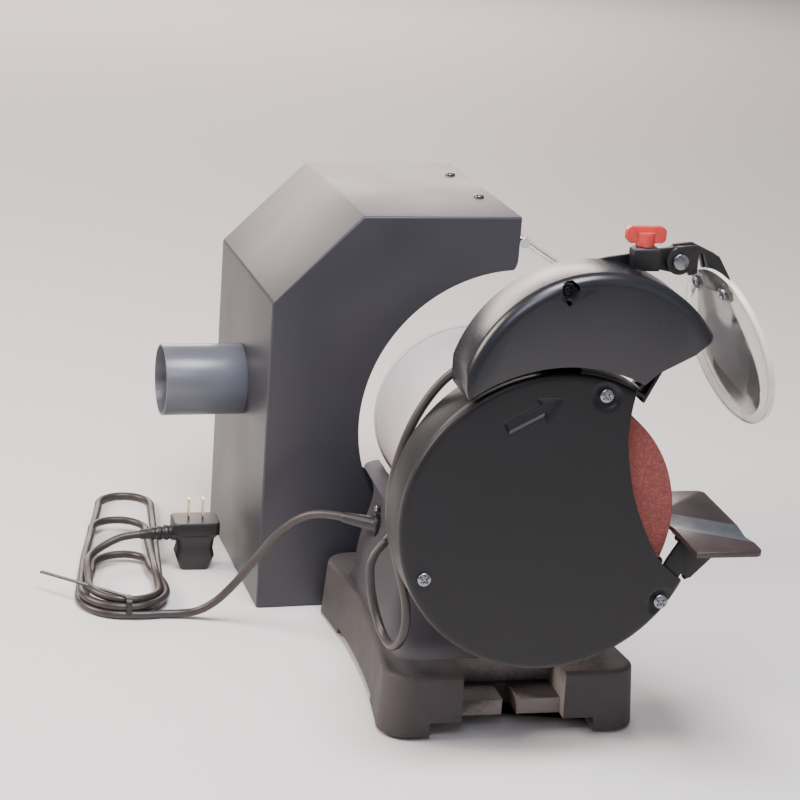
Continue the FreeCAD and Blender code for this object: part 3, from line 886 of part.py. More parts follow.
os.makedirs("parts", exist_ok=True)
for node, shape in NODES.items():
    shape.exportStep("parts/%s.step" % node)
    solids = shape.Solids
    box = shape.BoundBox
    print("%-18s solids %d valid %s volume %.0f  x %.1f..%.1f y %.1f..%.1f z %.1f..%.1f" % (
        node, len(solids), shape.isValid(), shape.Volume, box.XMin, box.XMax, box.YMin, box.YMax, box.ZMin, box.ZMax))
print("%d nodes" % len(NODES))
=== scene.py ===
import json
import math

import bmesh
import bpy
from mathutils import Matrix, Vector


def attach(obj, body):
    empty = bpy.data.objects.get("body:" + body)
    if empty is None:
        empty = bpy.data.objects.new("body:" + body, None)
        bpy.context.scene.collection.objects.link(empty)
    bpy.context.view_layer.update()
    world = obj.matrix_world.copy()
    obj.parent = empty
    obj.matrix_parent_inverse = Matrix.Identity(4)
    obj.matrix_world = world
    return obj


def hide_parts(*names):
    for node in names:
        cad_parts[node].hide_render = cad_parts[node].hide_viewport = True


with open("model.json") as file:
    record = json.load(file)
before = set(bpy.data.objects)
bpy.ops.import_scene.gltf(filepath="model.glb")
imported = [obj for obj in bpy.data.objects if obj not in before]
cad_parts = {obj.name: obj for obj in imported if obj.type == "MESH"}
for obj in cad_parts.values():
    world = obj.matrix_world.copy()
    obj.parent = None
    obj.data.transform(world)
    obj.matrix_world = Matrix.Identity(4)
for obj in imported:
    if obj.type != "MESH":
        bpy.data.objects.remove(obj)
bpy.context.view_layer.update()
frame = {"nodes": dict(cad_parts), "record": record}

nodes = frame["nodes"]
scene = bpy.context.scene
mm = 0.001
slotOf = {part["node"]: part["material_slot"] for part in frame["record"]["subparts"]}
bodyOf = {node: body for body, members in frame["record"]["behaviour"]["bodies"].items() for node in members}


# small helpers; every length in the settings is in millimetres

meshing = {"weld": 0.02, "flatDegrees": 0.6, "sharpDegrees": 30, "smoothDegrees": 35, "spinWeld": 0.0005}


def linear(hexColour):
    channels = [int(hexColour[i:i + 2], 16) / 255 for i in (1, 3, 5)]
    return [c / 12.92 if c <= 0.04045 else ((c + 0.055) / 1.055) ** 2.4 for c in channels] + [1.0]


def addNode(tree, kind, settings={}, links={}):
    node = tree.nodes.new(kind)
    for name, value in settings.items():
        if isinstance(name, int) or name in node.inputs:
            node.inputs[name].default_value = value
        else:
            setattr(node, name, value)
    for name, socket in links.items():
        tree.links.new(socket, node.inputs[name])
    return node


def startMaterial(name, sockets):
    material = bpy.data.materials.new(name)
    material.use_nodes = True
    tree = material.node_tree
    tree.nodes.clear()
    shader = addNode(tree, "ShaderNodeBsdfPrincipled", sockets)
    addNode(tree, "ShaderNodeOutputMaterial", links={"Surface": shader.outputs["BSDF"]})
    return material, tree, shader


def merged(node):
    # a copy of a CAD node's mesh, its loose triangles welded and its flat faces joined
    mesh = bmesh.new()
    mesh.from_mesh(nodes[node].data)
    bmesh.ops.remove_doubles(mesh, verts=mesh.verts, dist=meshing["weld"] * mm)
    bmesh.ops.dissolve_limit(mesh, angle_limit=math.radians(meshing["flatDegrees"]), verts=mesh.verts, edges=mesh.edges)
    return mesh


def roundEdges(mesh, width, segments=2):
    sharp = [e for e in mesh.edges
             if len(e.link_faces) == 2 and e.calc_face_angle() > math.radians(meshing["sharpDegrees"])]
    bmesh.ops.bevel(mesh, geom=sharp, offset=width * mm, offset_type="OFFSET", segments=segments, profile=0.5,
                    affect="EDGES", clamp_overlap=True, material=-1)


def move(mesh, result, step):
    # moves what an operator has just made
    bmesh.ops.translate(mesh, verts=[v for v in result["geom"] if isinstance(v, bmesh.types.BMVert)], vec=step)


def cutOut(mesh, cutter, wall=0):
    # gives the mesh a wall inwards where one is asked for, and takes the cutter's volume out of it
    holders = []
    for part in (mesh, cutter):
        data = bpy.data.meshes.new("blank")
        part.to_mesh(data)
        part.free()
        holders.append(bpy.data.objects.new("blank", data))
        scene.collection.objects.link(holders[-1])
    if wall:
        thicken = holders[0].modifiers.new("wall", "SOLIDIFY")
        thicken.thickness, thicken.offset, thicken.use_even_offset = wall * mm, -1, True
    cut = holders[0].modifiers.new("cut", "BOOLEAN")
    cut.object, cut.operation, cut.solver = holders[1], "DIFFERENCE", "EXACT"
    result = bmesh.new()
    result.from_object(holders[0], bpy.context.evaluated_depsgraph_get())
    for holder in holders:
        data = holder.data
        bpy.data.objects.remove(holder)
        bpy.data.meshes.remove(data)
    return result


def addPiece(name, mesh, stands, looks=None, smooth=meshing["smoothDegrees"]):
    # stands: the CAD nodes that the piece takes the place of; it rides on their body and keeps their slot
    slot = slotOf[stands[0]]
    data = bpy.data.meshes.new(name)
    bmesh.ops.triangulate(mesh, faces=[f for f in mesh.faces if len(f.verts) > 4])
    mesh.to_mesh(data)
    mesh.free()
    data.shade_smooth()
    data.set_sharp_from_angle(angle=math.radians(smooth))
    piece = bpy.data.objects.new(name, data)
    scene.collection.objects.link(piece)
    for look in looks or (slot,):
        data.materials.append(finishes[look])
    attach(piece, bodyOf[stands[0]])
    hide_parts(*stands)
    return piece


def spun(mesh, profile, at, out, steps, side=None):
    # adds a closed turned shape; the profile runs from axis to axis in (distance along out, radius)
    side = side or out.orthogonal().normalized()
    start = [mesh.verts.new(at + out * along * mm + side * radius * mm) for along, radius in profile]
    edges = [mesh.edges.new(pair) for pair in zip(start, start[1:])]
    before = set(mesh.faces)
    bmesh.ops.spin(mesh, geom=start + edges, cent=at, axis=out, angle=2 * math.pi, steps=steps,
                   use_merge=True, use_duplicate=False)
    made = [f for f in mesh.faces if f not in before]
    bmesh.ops.remove_doubles(mesh, verts=list({v for f in made for v in f.verts}), dist=meshing["spinWeld"] * mm)
    made = [f for f in mesh.faces if f not in before]
    bmesh.ops.recalc_face_normals(mesh, faces=made)
    return list({v for f in made for v in f.verts})


def smoothStep(value):
    value = min(1, max(0, value))
    return value * value * (3 - 2 * value)


# camera: the photograph's view, from the wheel end and slightly behind the machine

camera = {"place": (-1.6203, 0.489, 0.7683), "azimuth": 255.68, "elevation": 17.75, "roll": 4.26,      # place in metres
          "lens": 99.67, "sensor": 36, "farClip": 60}

azimuth, elevation, roll = (math.radians(camera[angle]) for angle in ("azimuth", "elevation", "roll"))
back = Vector((math.sin(azimuth) * math.cos(elevation), -math.cos(azimuth) * math.cos(elevation), math.sin(elevation)))
right = (-back).cross(Vector((0, 0, 1))).normalized()
up = right.cross(-back)
turnedRight = math.cos(roll) * right + math.sin(roll) * up
turnedUp = -math.sin(roll) * right + math.cos(roll) * up
cameraData = bpy.data.cameras.new("photographView")
cameraData.lens = camera["lens"]
cameraData.sensor_width = camera["sensor"]
cameraData.clip_end = camera["farClip"]
cameraObject = bpy.data.objects.new("photographView", cameraData)
cameraObject.matrix_world = Matrix((
    (turnedRight.x, turnedUp.x, back.x, camera["place"][0]),
    (turnedRight.y, turnedUp.y, back.y, camera["place"][1]),
    (turnedRight.z, turnedUp.z, back.z, camera["place"][2]),
    (0, 0, 0, 1)))
scene.collection.objects.link(cameraObject)
scene.camera = cameraObject
print("camera placed")


# finishes: two close tones in soft patches, a fine relief and a range of roughness; grain, relief and patch are sizes

finishLooks = {
    # sand-cast iron under thin dark paint: pitted and dull, paler where it is rubbed
    "base_iron": {"name": "sandCastIron", "grain": 1.4, "relief": 0.5, "patch": 24, "rough": (0.6, 0.78),
                  "tones": ("#383334", "#403b3b"), "wear": "#7b7371"},
    "pedestal_iron": {"name": "paintedCastIron", "grain": 1.2, "relief": 0.25, "patch": 40, "rough": (0.5, 0.66),
                      "tones": ("#322e34", "#39353b"), "wear": "#7d777b"},
    # powder-coated sheet steel: satin, with a faint orange peel
    "hood_paint": {"name": "charcoalPowderCoat", "grain": 0.9, "relief": 0.03, "patch": 90, "rough": (0.36, 0.44),
                   "tones": ("#2e2e34", "#333339"), "sockets": {"IOR": 1.5}},
    # brushed-on paint over rolled steel: smoother and lighter, worn bright at the mouth
    "duct_steel": {"name": "greyBluePaintedSteel", "grain": 1.0, "relief": 0.02, "patch": 60, "rough": (0.28, 0.36),
                   "tones": ("#555860", "#5e6169"), "wear": "#a9adb3", "worn": (0.57, 0.62), "sockets": {"IOR": 1.5}},
    # stoved black paint on pressed steel: smooth and half gloss
    "black_steel": {"name": "blackStovedPaint", "grain": 1.2, "relief": 0.02, "patch": 70, "rough": (0.4, 0.47),
                    "tones": ("#0d0e11", "#111215"), "sockets": {"IOR": 1.4}},
    # moulded ABS: even black, finely spark-textured
    "lamp_shell": {"name": "blackAbs", "grain": 0.5, "relief": 0.02, "patch": 50, "rough": (0.26, 0.32),
                   "tones": ("#17181d", "#1b1c22"), "sockets": {"IOR": 1.5}},
    # moulded nylon: black and a little duller than the ABS
    "black_plastic": {"name": "blackNylon", "grain": 0.4, "relief": 0.03, "patch": 20, "rough": (0.38, 0.48),
                      "tones": ("#121213", "#191819"), "sockets": {"IOR": 1.53}},
    # stoved enamel on the motor: pale, warm and satin
    "motor_grey": {"name": "paleGreyEnamel", "grain": 1.1, "relief": 0.03, "patch": 60, "rough": (0.36, 0.45),
                   "tones": ("#b0aaad", "#b9b3b6"), "sockets": {"IOR": 1.5}},
    # zinc plate: bright, slightly blue and cloudy
    "zinc": {"name": "zincPlate", "grain": 0.5, "relief": 0.01, "patch": 3, "rough": (0.22, 0.36),
             "tones": ("#7f8287", "#94979b"), "sockets": {"Metallic": 1.0}},
    # bare turned steel: an even, soft shine
    "steel": {"name": "turnedSteel", "grain": 0.4, "relief": 0.01, "patch": 6, "rough": (0.25, 0.38),
              "tones": ("#9b9c9f", "#b1b1b3"), "sockets": {"Metallic": 1.0}},
    # chrome plate: mirror-like
    "chrome": {"name": "chromePlate", "grain": 3, "relief": 0.003, "patch": 10, "rough": (0.08, 0.16),
               "tones": ("#c2c4c6", "#cfd0d1"), "sockets": {"Metallic": 1.0}},
    # nickel plate on the plug's pins: warm and slightly scuffed
    "nickel": {"name": "nickelPlate", "grain": 0.6, "relief": 0.006, "patch": 4, "rough": (0.18, 0.3),
               "tones": ("#c9b78e", "#dccba4"), "sockets": {"Metallic": 1.0}},
    # varnished winding wire: red-brown with a fine rib
    "copper": {"name": "enamelledCopper", "grain": 0.8, "relief": 0.2, "patch": 4, "rough": (0.3, 0.45),
               "tones": ("#8f4a2a", "#b1653c"), "sockets": {"Metallic": 1.0}},
    # stacked punchings: dull grey steel
    "laminations": {"name": "siliconSteelSheets", "grain": 0.5, "relief": 0.05, "patch": 3, "rough": (0.42, 0.58),
                    "tones": ("#5d5e61", "#6f7073"), "sockets": {"Metallic": 1.0}},
    # blotter card: matt and fibrous
    "paper": {"name": "blotterCard", "grain": 0.6, "relief": 0.05, "patch": 5, "rough": (0.85, 0.95),
              "tones": ("#b3a287", "#c7b799")},
    # clear cast acrylic and polycarbonate: milky from handling and polishing dust, white and frosted at a cut edge
    "clear_plastic": {"name": "handledAcrylic", "grain": 12, "relief": 0.01, "patch": 30, "rough": (0.05, 0.1),
                      "tones": ("#eceae6", "#f7f5f2"), "sockets": {"Transmission Weight": 0.96, "IOR": 1.49}},
    "clear_edge": {"name": "frostedAcrylicEdge", "grain": 1.0, "relief": 0.02, "patch": 8, "rough": (0.4, 0.55),
                   "tones": ("#eeece8", "#f8f6f3"), "sockets": {"Transmission Weight": 0.45, "IOR": 1.49}},
    "lens": {"name": "polishedLensAcrylic", "grain": 30, "relief": 0.01, "patch": 30, "rough": (0.02, 0.05),
             "tones": ("#f6f7f5", "#ffffff"), "sockets": {"Transmission Weight": 1.0, "IOR": 1.49}},
    # frosted bulb glass: lets light through but shows nothing behind it
    "lamp_glass": {"name": "frostedLampGlass", "grain": 0.6, "relief": 0.01, "patch": 10, "rough": (0.25, 0.4),
                   "tones": ("#efe9da", "#f6f1e6"), "sockets": {"Transmission Weight": 0.6, "IOR": 1.5}},
    # dyed acrylic of the knob: a clear red that glows at its edges
    "red_plastic": {"name": "redTranslucentAcrylic", "grain": 2, "relief": 0.02, "patch": 6, "rough": (0.16, 0.26),
                    "tones": ("#d6403c", "#e2524c"), "sockets": {"Transmission Weight": 0.3, "IOR": 1.49}},
    # oil-blackened steel of the tool rest: brown-black and paler at its edges; its upward-sloping faces get a lighter,
    # partly metallic steel as a painted reflection
    "rest_steel": {"name": "brownBlackSteel", "grain": 1.0, "relief": 0.05, "patch": 18, "rough": (0.3, 0.4),
                   "tones": ("#2f2627", "#382d2e"), "wear": "#57504f", "sockets": {"IOR": 1.5}},
    "painted_reflection_steel": {"name": "paintedReflectionSteel", "grain": 0.6, "relief": 0.01, "patch": 8, "rough": (0.32, 0.44),
                     "tones": ("#6a7078", "#7b8189"), "sockets": {"Metallic": 0.7}},
    # rubber: black and quite matt
    "pad_rubber": {"name": "padRubber", "grain": 0.8, "relief": 0.05, "patch": 6, "rough": (0.8, 0.9),
                   "tones": ("#151414", "#1c1b1b")},
    # soft PVC lead: dark brown-grey with a waxy shine
    "cord_pvc": {"name": "softPvc", "grain": 1.5, "relief": 0.05, "patch": 25, "rough": (0.34, 0.5),
                 "tones": ("#2b2523", "#383130"), "sockets": {"IOR": 1.53}},
}
pattern = {"grainDetail": 4.0, "grainRoughness": 0.6, "patchDetail": 3.0, "patchRange": (0.3, 0.7),
           "tonePlaces": (0.32, 0.68)}
wear = {"chip": 4, "chipDetail": 5.0, "scatter": 0.08, "edge": (0.56, 0.64)}      # edge: where wear starts and is full
grit = {"name": "redAluminiumOxide", "size": 1.3, "relief": 0.35, "rough": 0.9,
        "tones": ((0, "#74403b"), (0.55, "#8a4a44"), (1, "#a05a52"))}
finishes = {}


def wearEdges(tree, shader, colour, worn, edge):
    geometry = addNode(tree, "ShaderNodeNewGeometry")
    place = addNode(tree, "ShaderNodeTexCoord").outputs["Object"]
    chips = addNode(tree, "ShaderNodeTexNoise", {"Scale": 1 / (wear["chip"] * mm), "Detail": wear["chipDetail"]},
                    {"Vector": place})
    scatter = addNode(tree, "ShaderNodeMath",
                      {"operation": "MULTIPLY_ADD", 1: wear["scatter"], 2: -wear["scatter"] / 2},
                      {0: chips.outputs["Fac"]})
    rubbed = addNode(tree, "ShaderNodeMath", {"operation": "ADD"},
                     {0: geometry.outputs["Pointiness"], 1: scatter.outputs[0]})
    amount = addNode(tree, "ShaderNodeMapRange", {"From Min": edge[0], "From Max": edge[1]},
                     {"Value": rubbed.outputs[0]})
    mix = addNode(tree, "ShaderNodeMix", {"data_type": "RGBA"}, {0: amount.outputs["Result"], 6: colour})
    mix.inputs[7].default_value = linear(worn)
    tree.links.new(mix.outputs[2], shader.inputs["Base Color"])


def makeFinish(look):
    material, tree, shader = startMaterial(look["name"], look.get("sockets", {}))
    place = addNode(tree, "ShaderNodeTexCoord").outputs["Object"]
    grain = addNode(tree, "ShaderNodeTexNoise", {"Scale": 1 / (look["grain"] * mm), "Detail": pattern["grainDetail"],
                                                 "Roughness": pattern["grainRoughness"]}, {"Vector": place})
    patches = addNode(tree, "ShaderNodeTexNoise",
                      {"Scale": 1 / (look["patch"] * mm), "Detail": pattern["patchDetail"]}, {"Vector": place})
    relief = addNode(tree, "ShaderNodeBump", {"Strength": 1.0, "Distance": look["relief"] * mm},
                     {"Height": grain.outputs["Fac"]})
    low, high = pattern["patchRange"]
    smoothest, roughest = look["rough"]
    rough = addNode(tree, "ShaderNodeMapRange",
                    {"From Min": low, "From Max": high, "To Min": smoothest, "To Max": roughest},
                    {"Value": patches.outputs["Fac"]})
    tone = addNode(tree, "ShaderNodeValToRGB", links={"Fac": patches.outputs["Fac"]})
    for element, at, colour in zip(tone.color_ramp.elements, pattern["tonePlaces"], look["tones"]):
        element.position, element.color = at, linear(colour)
    tree.links.new(relief.outputs["Normal"], shader.inputs["Normal"])
    tree.links.new(rough.outputs["Result"], shader.inputs["Roughness"])
    if "wear" in look:
        wearEdges(tree, shader, tone.outputs["Color"], look["wear"], look.get("worn", wear["edge"]))
    else:
        tree.links.new(tone.outputs["Color"], shader.inputs["Base Color"])
    return material


def makeGrit():
    # vitrified aluminium oxide: red-brown grit of about a millimetre in a paler bond
    material, tree, shader = startMaterial(grit["name"], {"Roughness": grit["rough"]})
    place = addNode(tree, "ShaderNodeTexCoord").outputs["Object"]
    grains = addNode(tree, "ShaderNodeTexVoronoi", {"Scale": 1 / (grit["size"] * mm)}, {"Vector": place})
    shade = addNode(tree, "ShaderNodeValToRGB", links={"Fac": grains.outputs["Color"]})
    ramp = shade.color_ramp.elements
    low, middle, high = grit["tones"]
    ramp[0].color, ramp[1].color = linear(low[1]), linear(high[1])
    ramp.new(middle[0]).color = linear(middle[1])
    relief = addNode(tree, "ShaderNodeBump", {"Strength": 1.0, "Distance": grit["relief"] * mm},
                     {"Height": grains.outputs["Distance"]})
    tree.links.new(shade.outputs["Color"], shader.inputs["Base Color"])
    tree.links.new(relief.outputs["Normal"], shader.inputs["Normal"])
    return material


for slot, look in finishLooks.items():
    finishes[slot] = makeFinish(look)
finishes["abrasive"] = makeGrit()
for name, node in nodes.items():
    node.data.materials.clear()
    node.data.materials.append(finishes[slotOf[name]])
print("finishes ready")


# castings, pressings and mouldings whose solids are right: their edges are rounded as they are in metal and plastic

softened = {
    "base_casting": {"piece": "castBase", "edge": 1.6, "segments": 3, "smooth": 42},
    "pedestal": {"piece": "motorStand", "edge": 1.2, "segments": 3, "smooth": 42},
    "motor_shell": {"piece": "motorBarrel", "edge": 0.5},
    "end_bell_left": {"piece": "leftEndBell", "edge": 0.7},
    "end_bell_right": {"piece": "rightEndBell", "edge": 0.7},
    "switch_plate": {"piece": "switchPlate", "edge": 0.4},
    "switch_body": {"piece": "switchBezel", "edge": 0.5},
    "rocker_switch": {"piece": "rockerKey", "edge": 0.5},
    "cord_gland": {"piece": "mainsGland", "edge": 0.5},
    "lamp_cord_gland": {"piece": "lampGland", "edge": 0.4},
    "wheel_guard": {"piece": "guardDrum", "edge": 0.5},
    "spark_plate": {"piece": "sparkPlate", "edge": 0.5},
    "rest_bracket": {"piece": "restBracket", "edge": 0.6},
    "lamp_socket": {"piece": "lampSocket", "edge": 0.6},
    "shield_bracket": {"piece": "shieldBracket", "edge": 0.5},
    "shield_clamp": {"piece": "shieldClamp", "edge": 0.8, "segments": 3},
    "clamp_knob": {"piece": "clampKnob", "edge": 0.9, "segments": 3},
    "pivot_bolt": {"piece": "pivotBolt", "edge": 0.6},
    "shield_arm": {"piece": "shieldArm", "edge": 0.9, "segments": 3},
    "rest_bolt": {"piece": "restBolt", "edge": 0.5},
    "duct_collar": {"piece": "ductSpigot", "edge": 0.35},
    "visor_brackets": {"piece": "visorBrackets", "edge": 0.4},
}

for node, look in softened.items():
    mesh = merged(node)
    roundEdges(mesh, look["edge"], look.get("segments", 2))
    addPiece(look["piece"], mesh, (node,), smooth=look.get("smooth", meshing["smoothDegrees"]))
print("edges rounded")


# suction hood: one folded sheet case, open to the front, with its round cut-outs and duct hole

hood = {"corner": (128.871, 157.6), "yaw": 2.58, "width": 213.4, "depth": 212.7, "height": 350.0, "chamfer": 74.0,
        "sheet": 1.5, "fold": 2.0, "foldSegments": 4,
        "topLand": 46.2, "footLand": 31.2, "ahead": 5.1, "scoopSteps": 96,      # the round front edge of the panels
        "topLip": 11.2, "topSegments": 10, "footLip": 4.8, "footSegments": 6,
        "ductHole": 30.5, "ductHeight": 176.0, "ductSteps": 72, "cutReach": 8, "weld": 0.01, "smooth": 30}


def makeHoodCase():
    mesh = bmesh.new()
    half = (hood["height"] - hood["topLand"] - hood["footLand"]) / 2
    centre = Vector((0, -hood["depth"] - hood["ahead"], hood["footLand"] + half)) * mm
    top = mesh.verts.new((0, -hood["depth"] * mm, (hood["height"] - hood["topLand"]) * mm))
    sweep = math.pi - 2 * math.atan2(hood["ahead"], half)
    bmesh.ops.spin(mesh, geom=[top], cent=centre, axis=(-1, 0, 0), angle=sweep, steps=hood["scoopSteps"],
                   use_merge=False)
    foot = min(mesh.verts, key=lambda v: v.co.z)
    outline = [(-hood["depth"], 0), (0, 0), (0, hood["height"] - hood["chamfer"]), (-hood["chamfer"], hood["height"]),
               (-hood["depth"], hood["height"])]
    corners = [mesh.verts.new((0, y * mm, z * mm)) for y, z in outline]
    chain = [foot] + corners + [top]
    for pair in zip(chain, chain[1:]):
        mesh.edges.new(pair)
    for tip, reach, segments in ((top, hood["topLip"], hood["topSegments"]),
                                 (foot, hood["footLip"], hood["footSegments"])):
        bmesh.ops.bevel(mesh, geom=[tip], offset=reach * mm, offset_type="OFFSET", segments=segments, profile=0.5,
                        affect="VERTICES", material=-1)
    folds = [e for e in mesh.edges if all(v in corners for v in e.verts)]
    panel = bmesh.ops.triangle_fill(mesh, edges=list(mesh.edges), use_beauty=True)
    bmesh.ops.dissolve_faces(mesh, faces=[f for f in panel["geom"] if isinstance(f, bmesh.types.BMFace)])
    across = (hood["width"] * mm, 0, 0)
    move(mesh, bmesh.ops.duplicate(mesh, geom=list(mesh.verts) + list(mesh.edges) + list(mesh.faces)), across)
    move(mesh, bmesh.ops.extrude_edge_only(mesh, edges=folds), across)
    bmesh.ops.remove_doubles(mesh, verts=mesh.verts, dist=hood["weld"] * mm)
    bmesh.ops.recalc_face_normals(mesh, faces=mesh.faces)
    floorPlate = min(mesh.faces, key=lambda f: f.calc_center_median().z)
    if floorPlate.normal.z > 0:
        bmesh.ops.reverse_faces(mesh, faces=mesh.faces)
    roundEdges(mesh, hood["fold"], hood["foldSegments"])
    cutter = bmesh.new()
    reach, radius = hood["cutReach"], hood["ductHole"]
    spun(cutter, [(-reach, 0), (-reach, radius), (reach, radius), (reach, 0)],
         Vector((hood["width"] / 2, 0, hood["ductHeight"])) * mm, Vector((0, 1, 0)), hood["ductSteps"])
    mesh = cutOut(mesh, cutter, hood["sheet"])
    place = Matrix.Translation((hood["corner"][0] * mm, hood["corner"][1] * mm, 0))
    bmesh.ops.transform(mesh, matrix=place @ Matrix.Rotation(math.radians(hood["yaw"]), 4, "Z"), verts=mesh.verts)
    return mesh


addPiece("hoodCase", makeHoodCase(), ("hood_wrap", "hood_side_near", "hood_side_far"), smooth=hood["smooth"])
print("suction hood made")


# guard cover: a pressed cap, slightly crowned, with screw dimples, the pressed turning arrow and the working cut-out

cover = {"axis": 197.0, "face": -185.0, "crown": 0.9, "radius": 115.5, "edge": 5.0, "rim": -176.0, "wall": 2.0,
         "rings": 50, "edgeDegrees": (12, 24, 36, 48, 60, 72, 82, 90), "skirt": -178.0, "steps": 216, "weld": 0.001,
         "fineRounds": 2, "fineReach": 2, "smooth": 40,
         "dimples": [(-31, 296), (-90, 134)], "dimpleFloor": -181.8, "dimpleInner": 6.2, "dimpleOuter": 12.5,
         "arrow": {"tail": (42, 272), "tip": (3, 293), "depth": 1.9, "halfShaft": 3.8, "halfHead": 8.5,
                   "headLength": 15, "headSlant": 0.87, "overlap": 3, "slope": 3.2, "reach": 27, "behind": -183},
         "cutFrom": -200, "cutDepth": 40,
         "cut": [(-59, 320), (-53, 299), (-51.2, 287), (-50, 275), (-50.2, 262), (-52, 250), (-54.7, 236), (-58.6, 221),
                 (-63.5, 208), (-69.4, 194.6), (-75.5, 182.7), (-82, 171.5), (-86.8, 165.6), (-92, 160.5),
                 (-97.7, 155.7), (-104, 151.5), (-106, 146), (-170, 130), (-170, 320)]}


def coverHeight(radius):
    flat = cover["radius"] - cover["edge"]
    crown = cover["crown"] * (min(radius, flat) / flat) ** 2
    if radius <= flat:
        return cover["face"] + crown
    lean = min(1, (radius - flat) / cover["edge"])
    return cover["face"] + crown + (cover["edge"] - cover["crown"]) * (1 - math.sqrt(max(0, 1 - lean * lean)))


def arrowDepth(y, z):
    arrow = cover["arrow"]
    tail, tip = Vector(arrow["tail"]), Vector(arrow["tip"])
    length = (tip - tail).length
    along = (tip - tail).normalized()
    offset = Vector((y, z)) - tail
    run, aside = offset.dot(along), abs(offset.dot(Vector((-along.y, along.x))))
    shoulder = length - arrow["headLength"]
    shaft = min(run, shoulder + arrow["overlap"] - run, arrow["halfShaft"] - aside)
    head = min(run - shoulder, arrow["headSlant"] * (arrow["halfHead"] * (length - run) / arrow["headLength"] - aside))
    return arrow["depth"] * smoothStep(max(shaft, head) / arrow["slope"] + 0.5)


def makeGuardCover():
    mesh = bmesh.new()
    arrow = cover["arrow"]
    flat = cover["radius"] - cover["edge"]
    radii = [flat * i / cover["rings"] for i in range(cover["rings"] + 1)]
    radii += [flat + cover["edge"] * math.sin(math.radians(degrees)) for degrees in cover["edgeDegrees"]]
    profile = [(coverHeight(r), r) for r in radii]
    profile += [(cover["skirt"], cover["radius"]), (cover["rim"], cover["radius"])]
    start = [mesh.verts.new((x * mm, 0, (cover["axis"] + r) * mm)) for x, r in profile]
    edges = [mesh.edges.new(pair) for pair in zip(start, start[1:])]
    bmesh.ops.spin(mesh, geom=start + edges, cent=(0, 0, cover["axis"] * mm), axis=(1, 0, 0), angle=2 * math.pi,
                   steps=cover["steps"], use_merge=True, use_duplicate=False)
    bmesh.ops.remove_doubles(mesh, verts=mesh.verts, dist=cover["weld"] * mm)
    spots = [(Vector(at), cover["dimpleOuter"] + cover["fineReach"]) for at in cover["dimples"]]
    spots.append(((Vector(arrow["tail"]) + Vector(arrow["tip"])) / 2, arrow["reach"]))
    for _ in range(cover["fineRounds"]):      # a finer mesh where the metal is pressed
        fine = [e for e in mesh.edges
                if any(((e.verts[0].co.yz + e.verts[1].co.yz) / 2 / mm - spot).length < reach for spot, reach in spots)]
        bmesh.ops.subdivide_edges(mesh, edges=fine, cuts=1, use_grid_fill=True)
    for vert in mesh.verts:
        x, y, z = vert.co / mm
        x += arrowDepth(y, z) if x < arrow["behind"] else 0
        for at in cover["dimples"]:
            inside = cover["dimpleOuter"] - (Vector((y, z)) - Vector(at)).length
            share = smoothStep(inside / (cover["dimpleOuter"] - cover["dimpleInner"]))
            x = max(x, x + share * (cover["dimpleFloor"] - x))
        vert.co.x = x * mm
    bmesh.ops.recalc_face_normals(mesh, faces=mesh.faces)
    centre = min(mesh.faces, key=lambda f: (f.calc_center_median().yz - Vector((0, cover["axis"] * mm))).length)
    if centre.normal.x > 0:
        bmesh.ops.reverse_faces(mesh, faces=mesh.faces)
    cutter = bmesh.new()
    cutter.faces.new([cutter.verts.new((cover["cutFrom"] * mm, y * mm, z * mm)) for y, z in cover["cut"]])
    move(cutter, bmesh.ops.extrude_face_region(cutter, geom=list(cutter.faces)), (cover["cutDepth"] * mm, 0, 0))
    bmesh.ops.recalc_face_normals(cutter, faces=cutter.faces)
    return cutOut(mesh, cutter, cover["wall"])


addPiece("guardCover", makeGuardCover(), ("guard_cover",), smooth=cover["smooth"])
print("guard cover made")


# lamp hood: the moulding with a teardrop screw well at its rounded edge

lampHood = {"edge": 0.6, "wellAt": (6, 376), "wellRadius": 6.5, "wellPoint": 5.0, "wellSqueeze": 0.25, "wellSteps": 48,
            "wellFloor": -182.2, "cutFrom": -200}


def makeLampHood():
    mesh = merged("lamp_hood")
    roundEdges(mesh, lampHood["edge"])
    cutter = bmesh.new()
    ring = bmesh.ops.create_circle(cutter, cap_ends=True, segments=lampHood["wellSteps"],
                                   radius=lampHood["wellRadius"] * mm)["verts"]
    for vert in ring:
        pull = max(0, vert.co.x / (lampHood["wellRadius"] * mm))
        vert.co.x += lampHood["wellPoint"] * mm * pull ** 3
        vert.co.y *= 1 - lampHood["wellSqueeze"] * pull ** 2
    bmesh.ops.rotate(cutter, verts=ring, cent=(0, 0, 0), matrix=Matrix.Rotation(math.pi / 2, 3, "Y"))
    bmesh.ops.translate(cutter, verts=ring, vec=Vector((lampHood["cutFrom"], *lampHood["wellAt"])) * mm)
    move(cutter, bmesh.ops.extrude_face_region(cutter, geom=list(cutter.faces)),
         ((lampHood["wellFloor"] - lampHood["cutFrom"]) * mm, 0, 0))
    bmesh.ops.recalc_face_normals(cutter, faces=cutter.faces)
    return cutOut(mesh, cutter)


addPiece("lampHood", makeLampHood(), ("lamp_hood",))
print("lamp hood made")


# screws: pan heads with a cross recess; a head is (seat, radius, height)

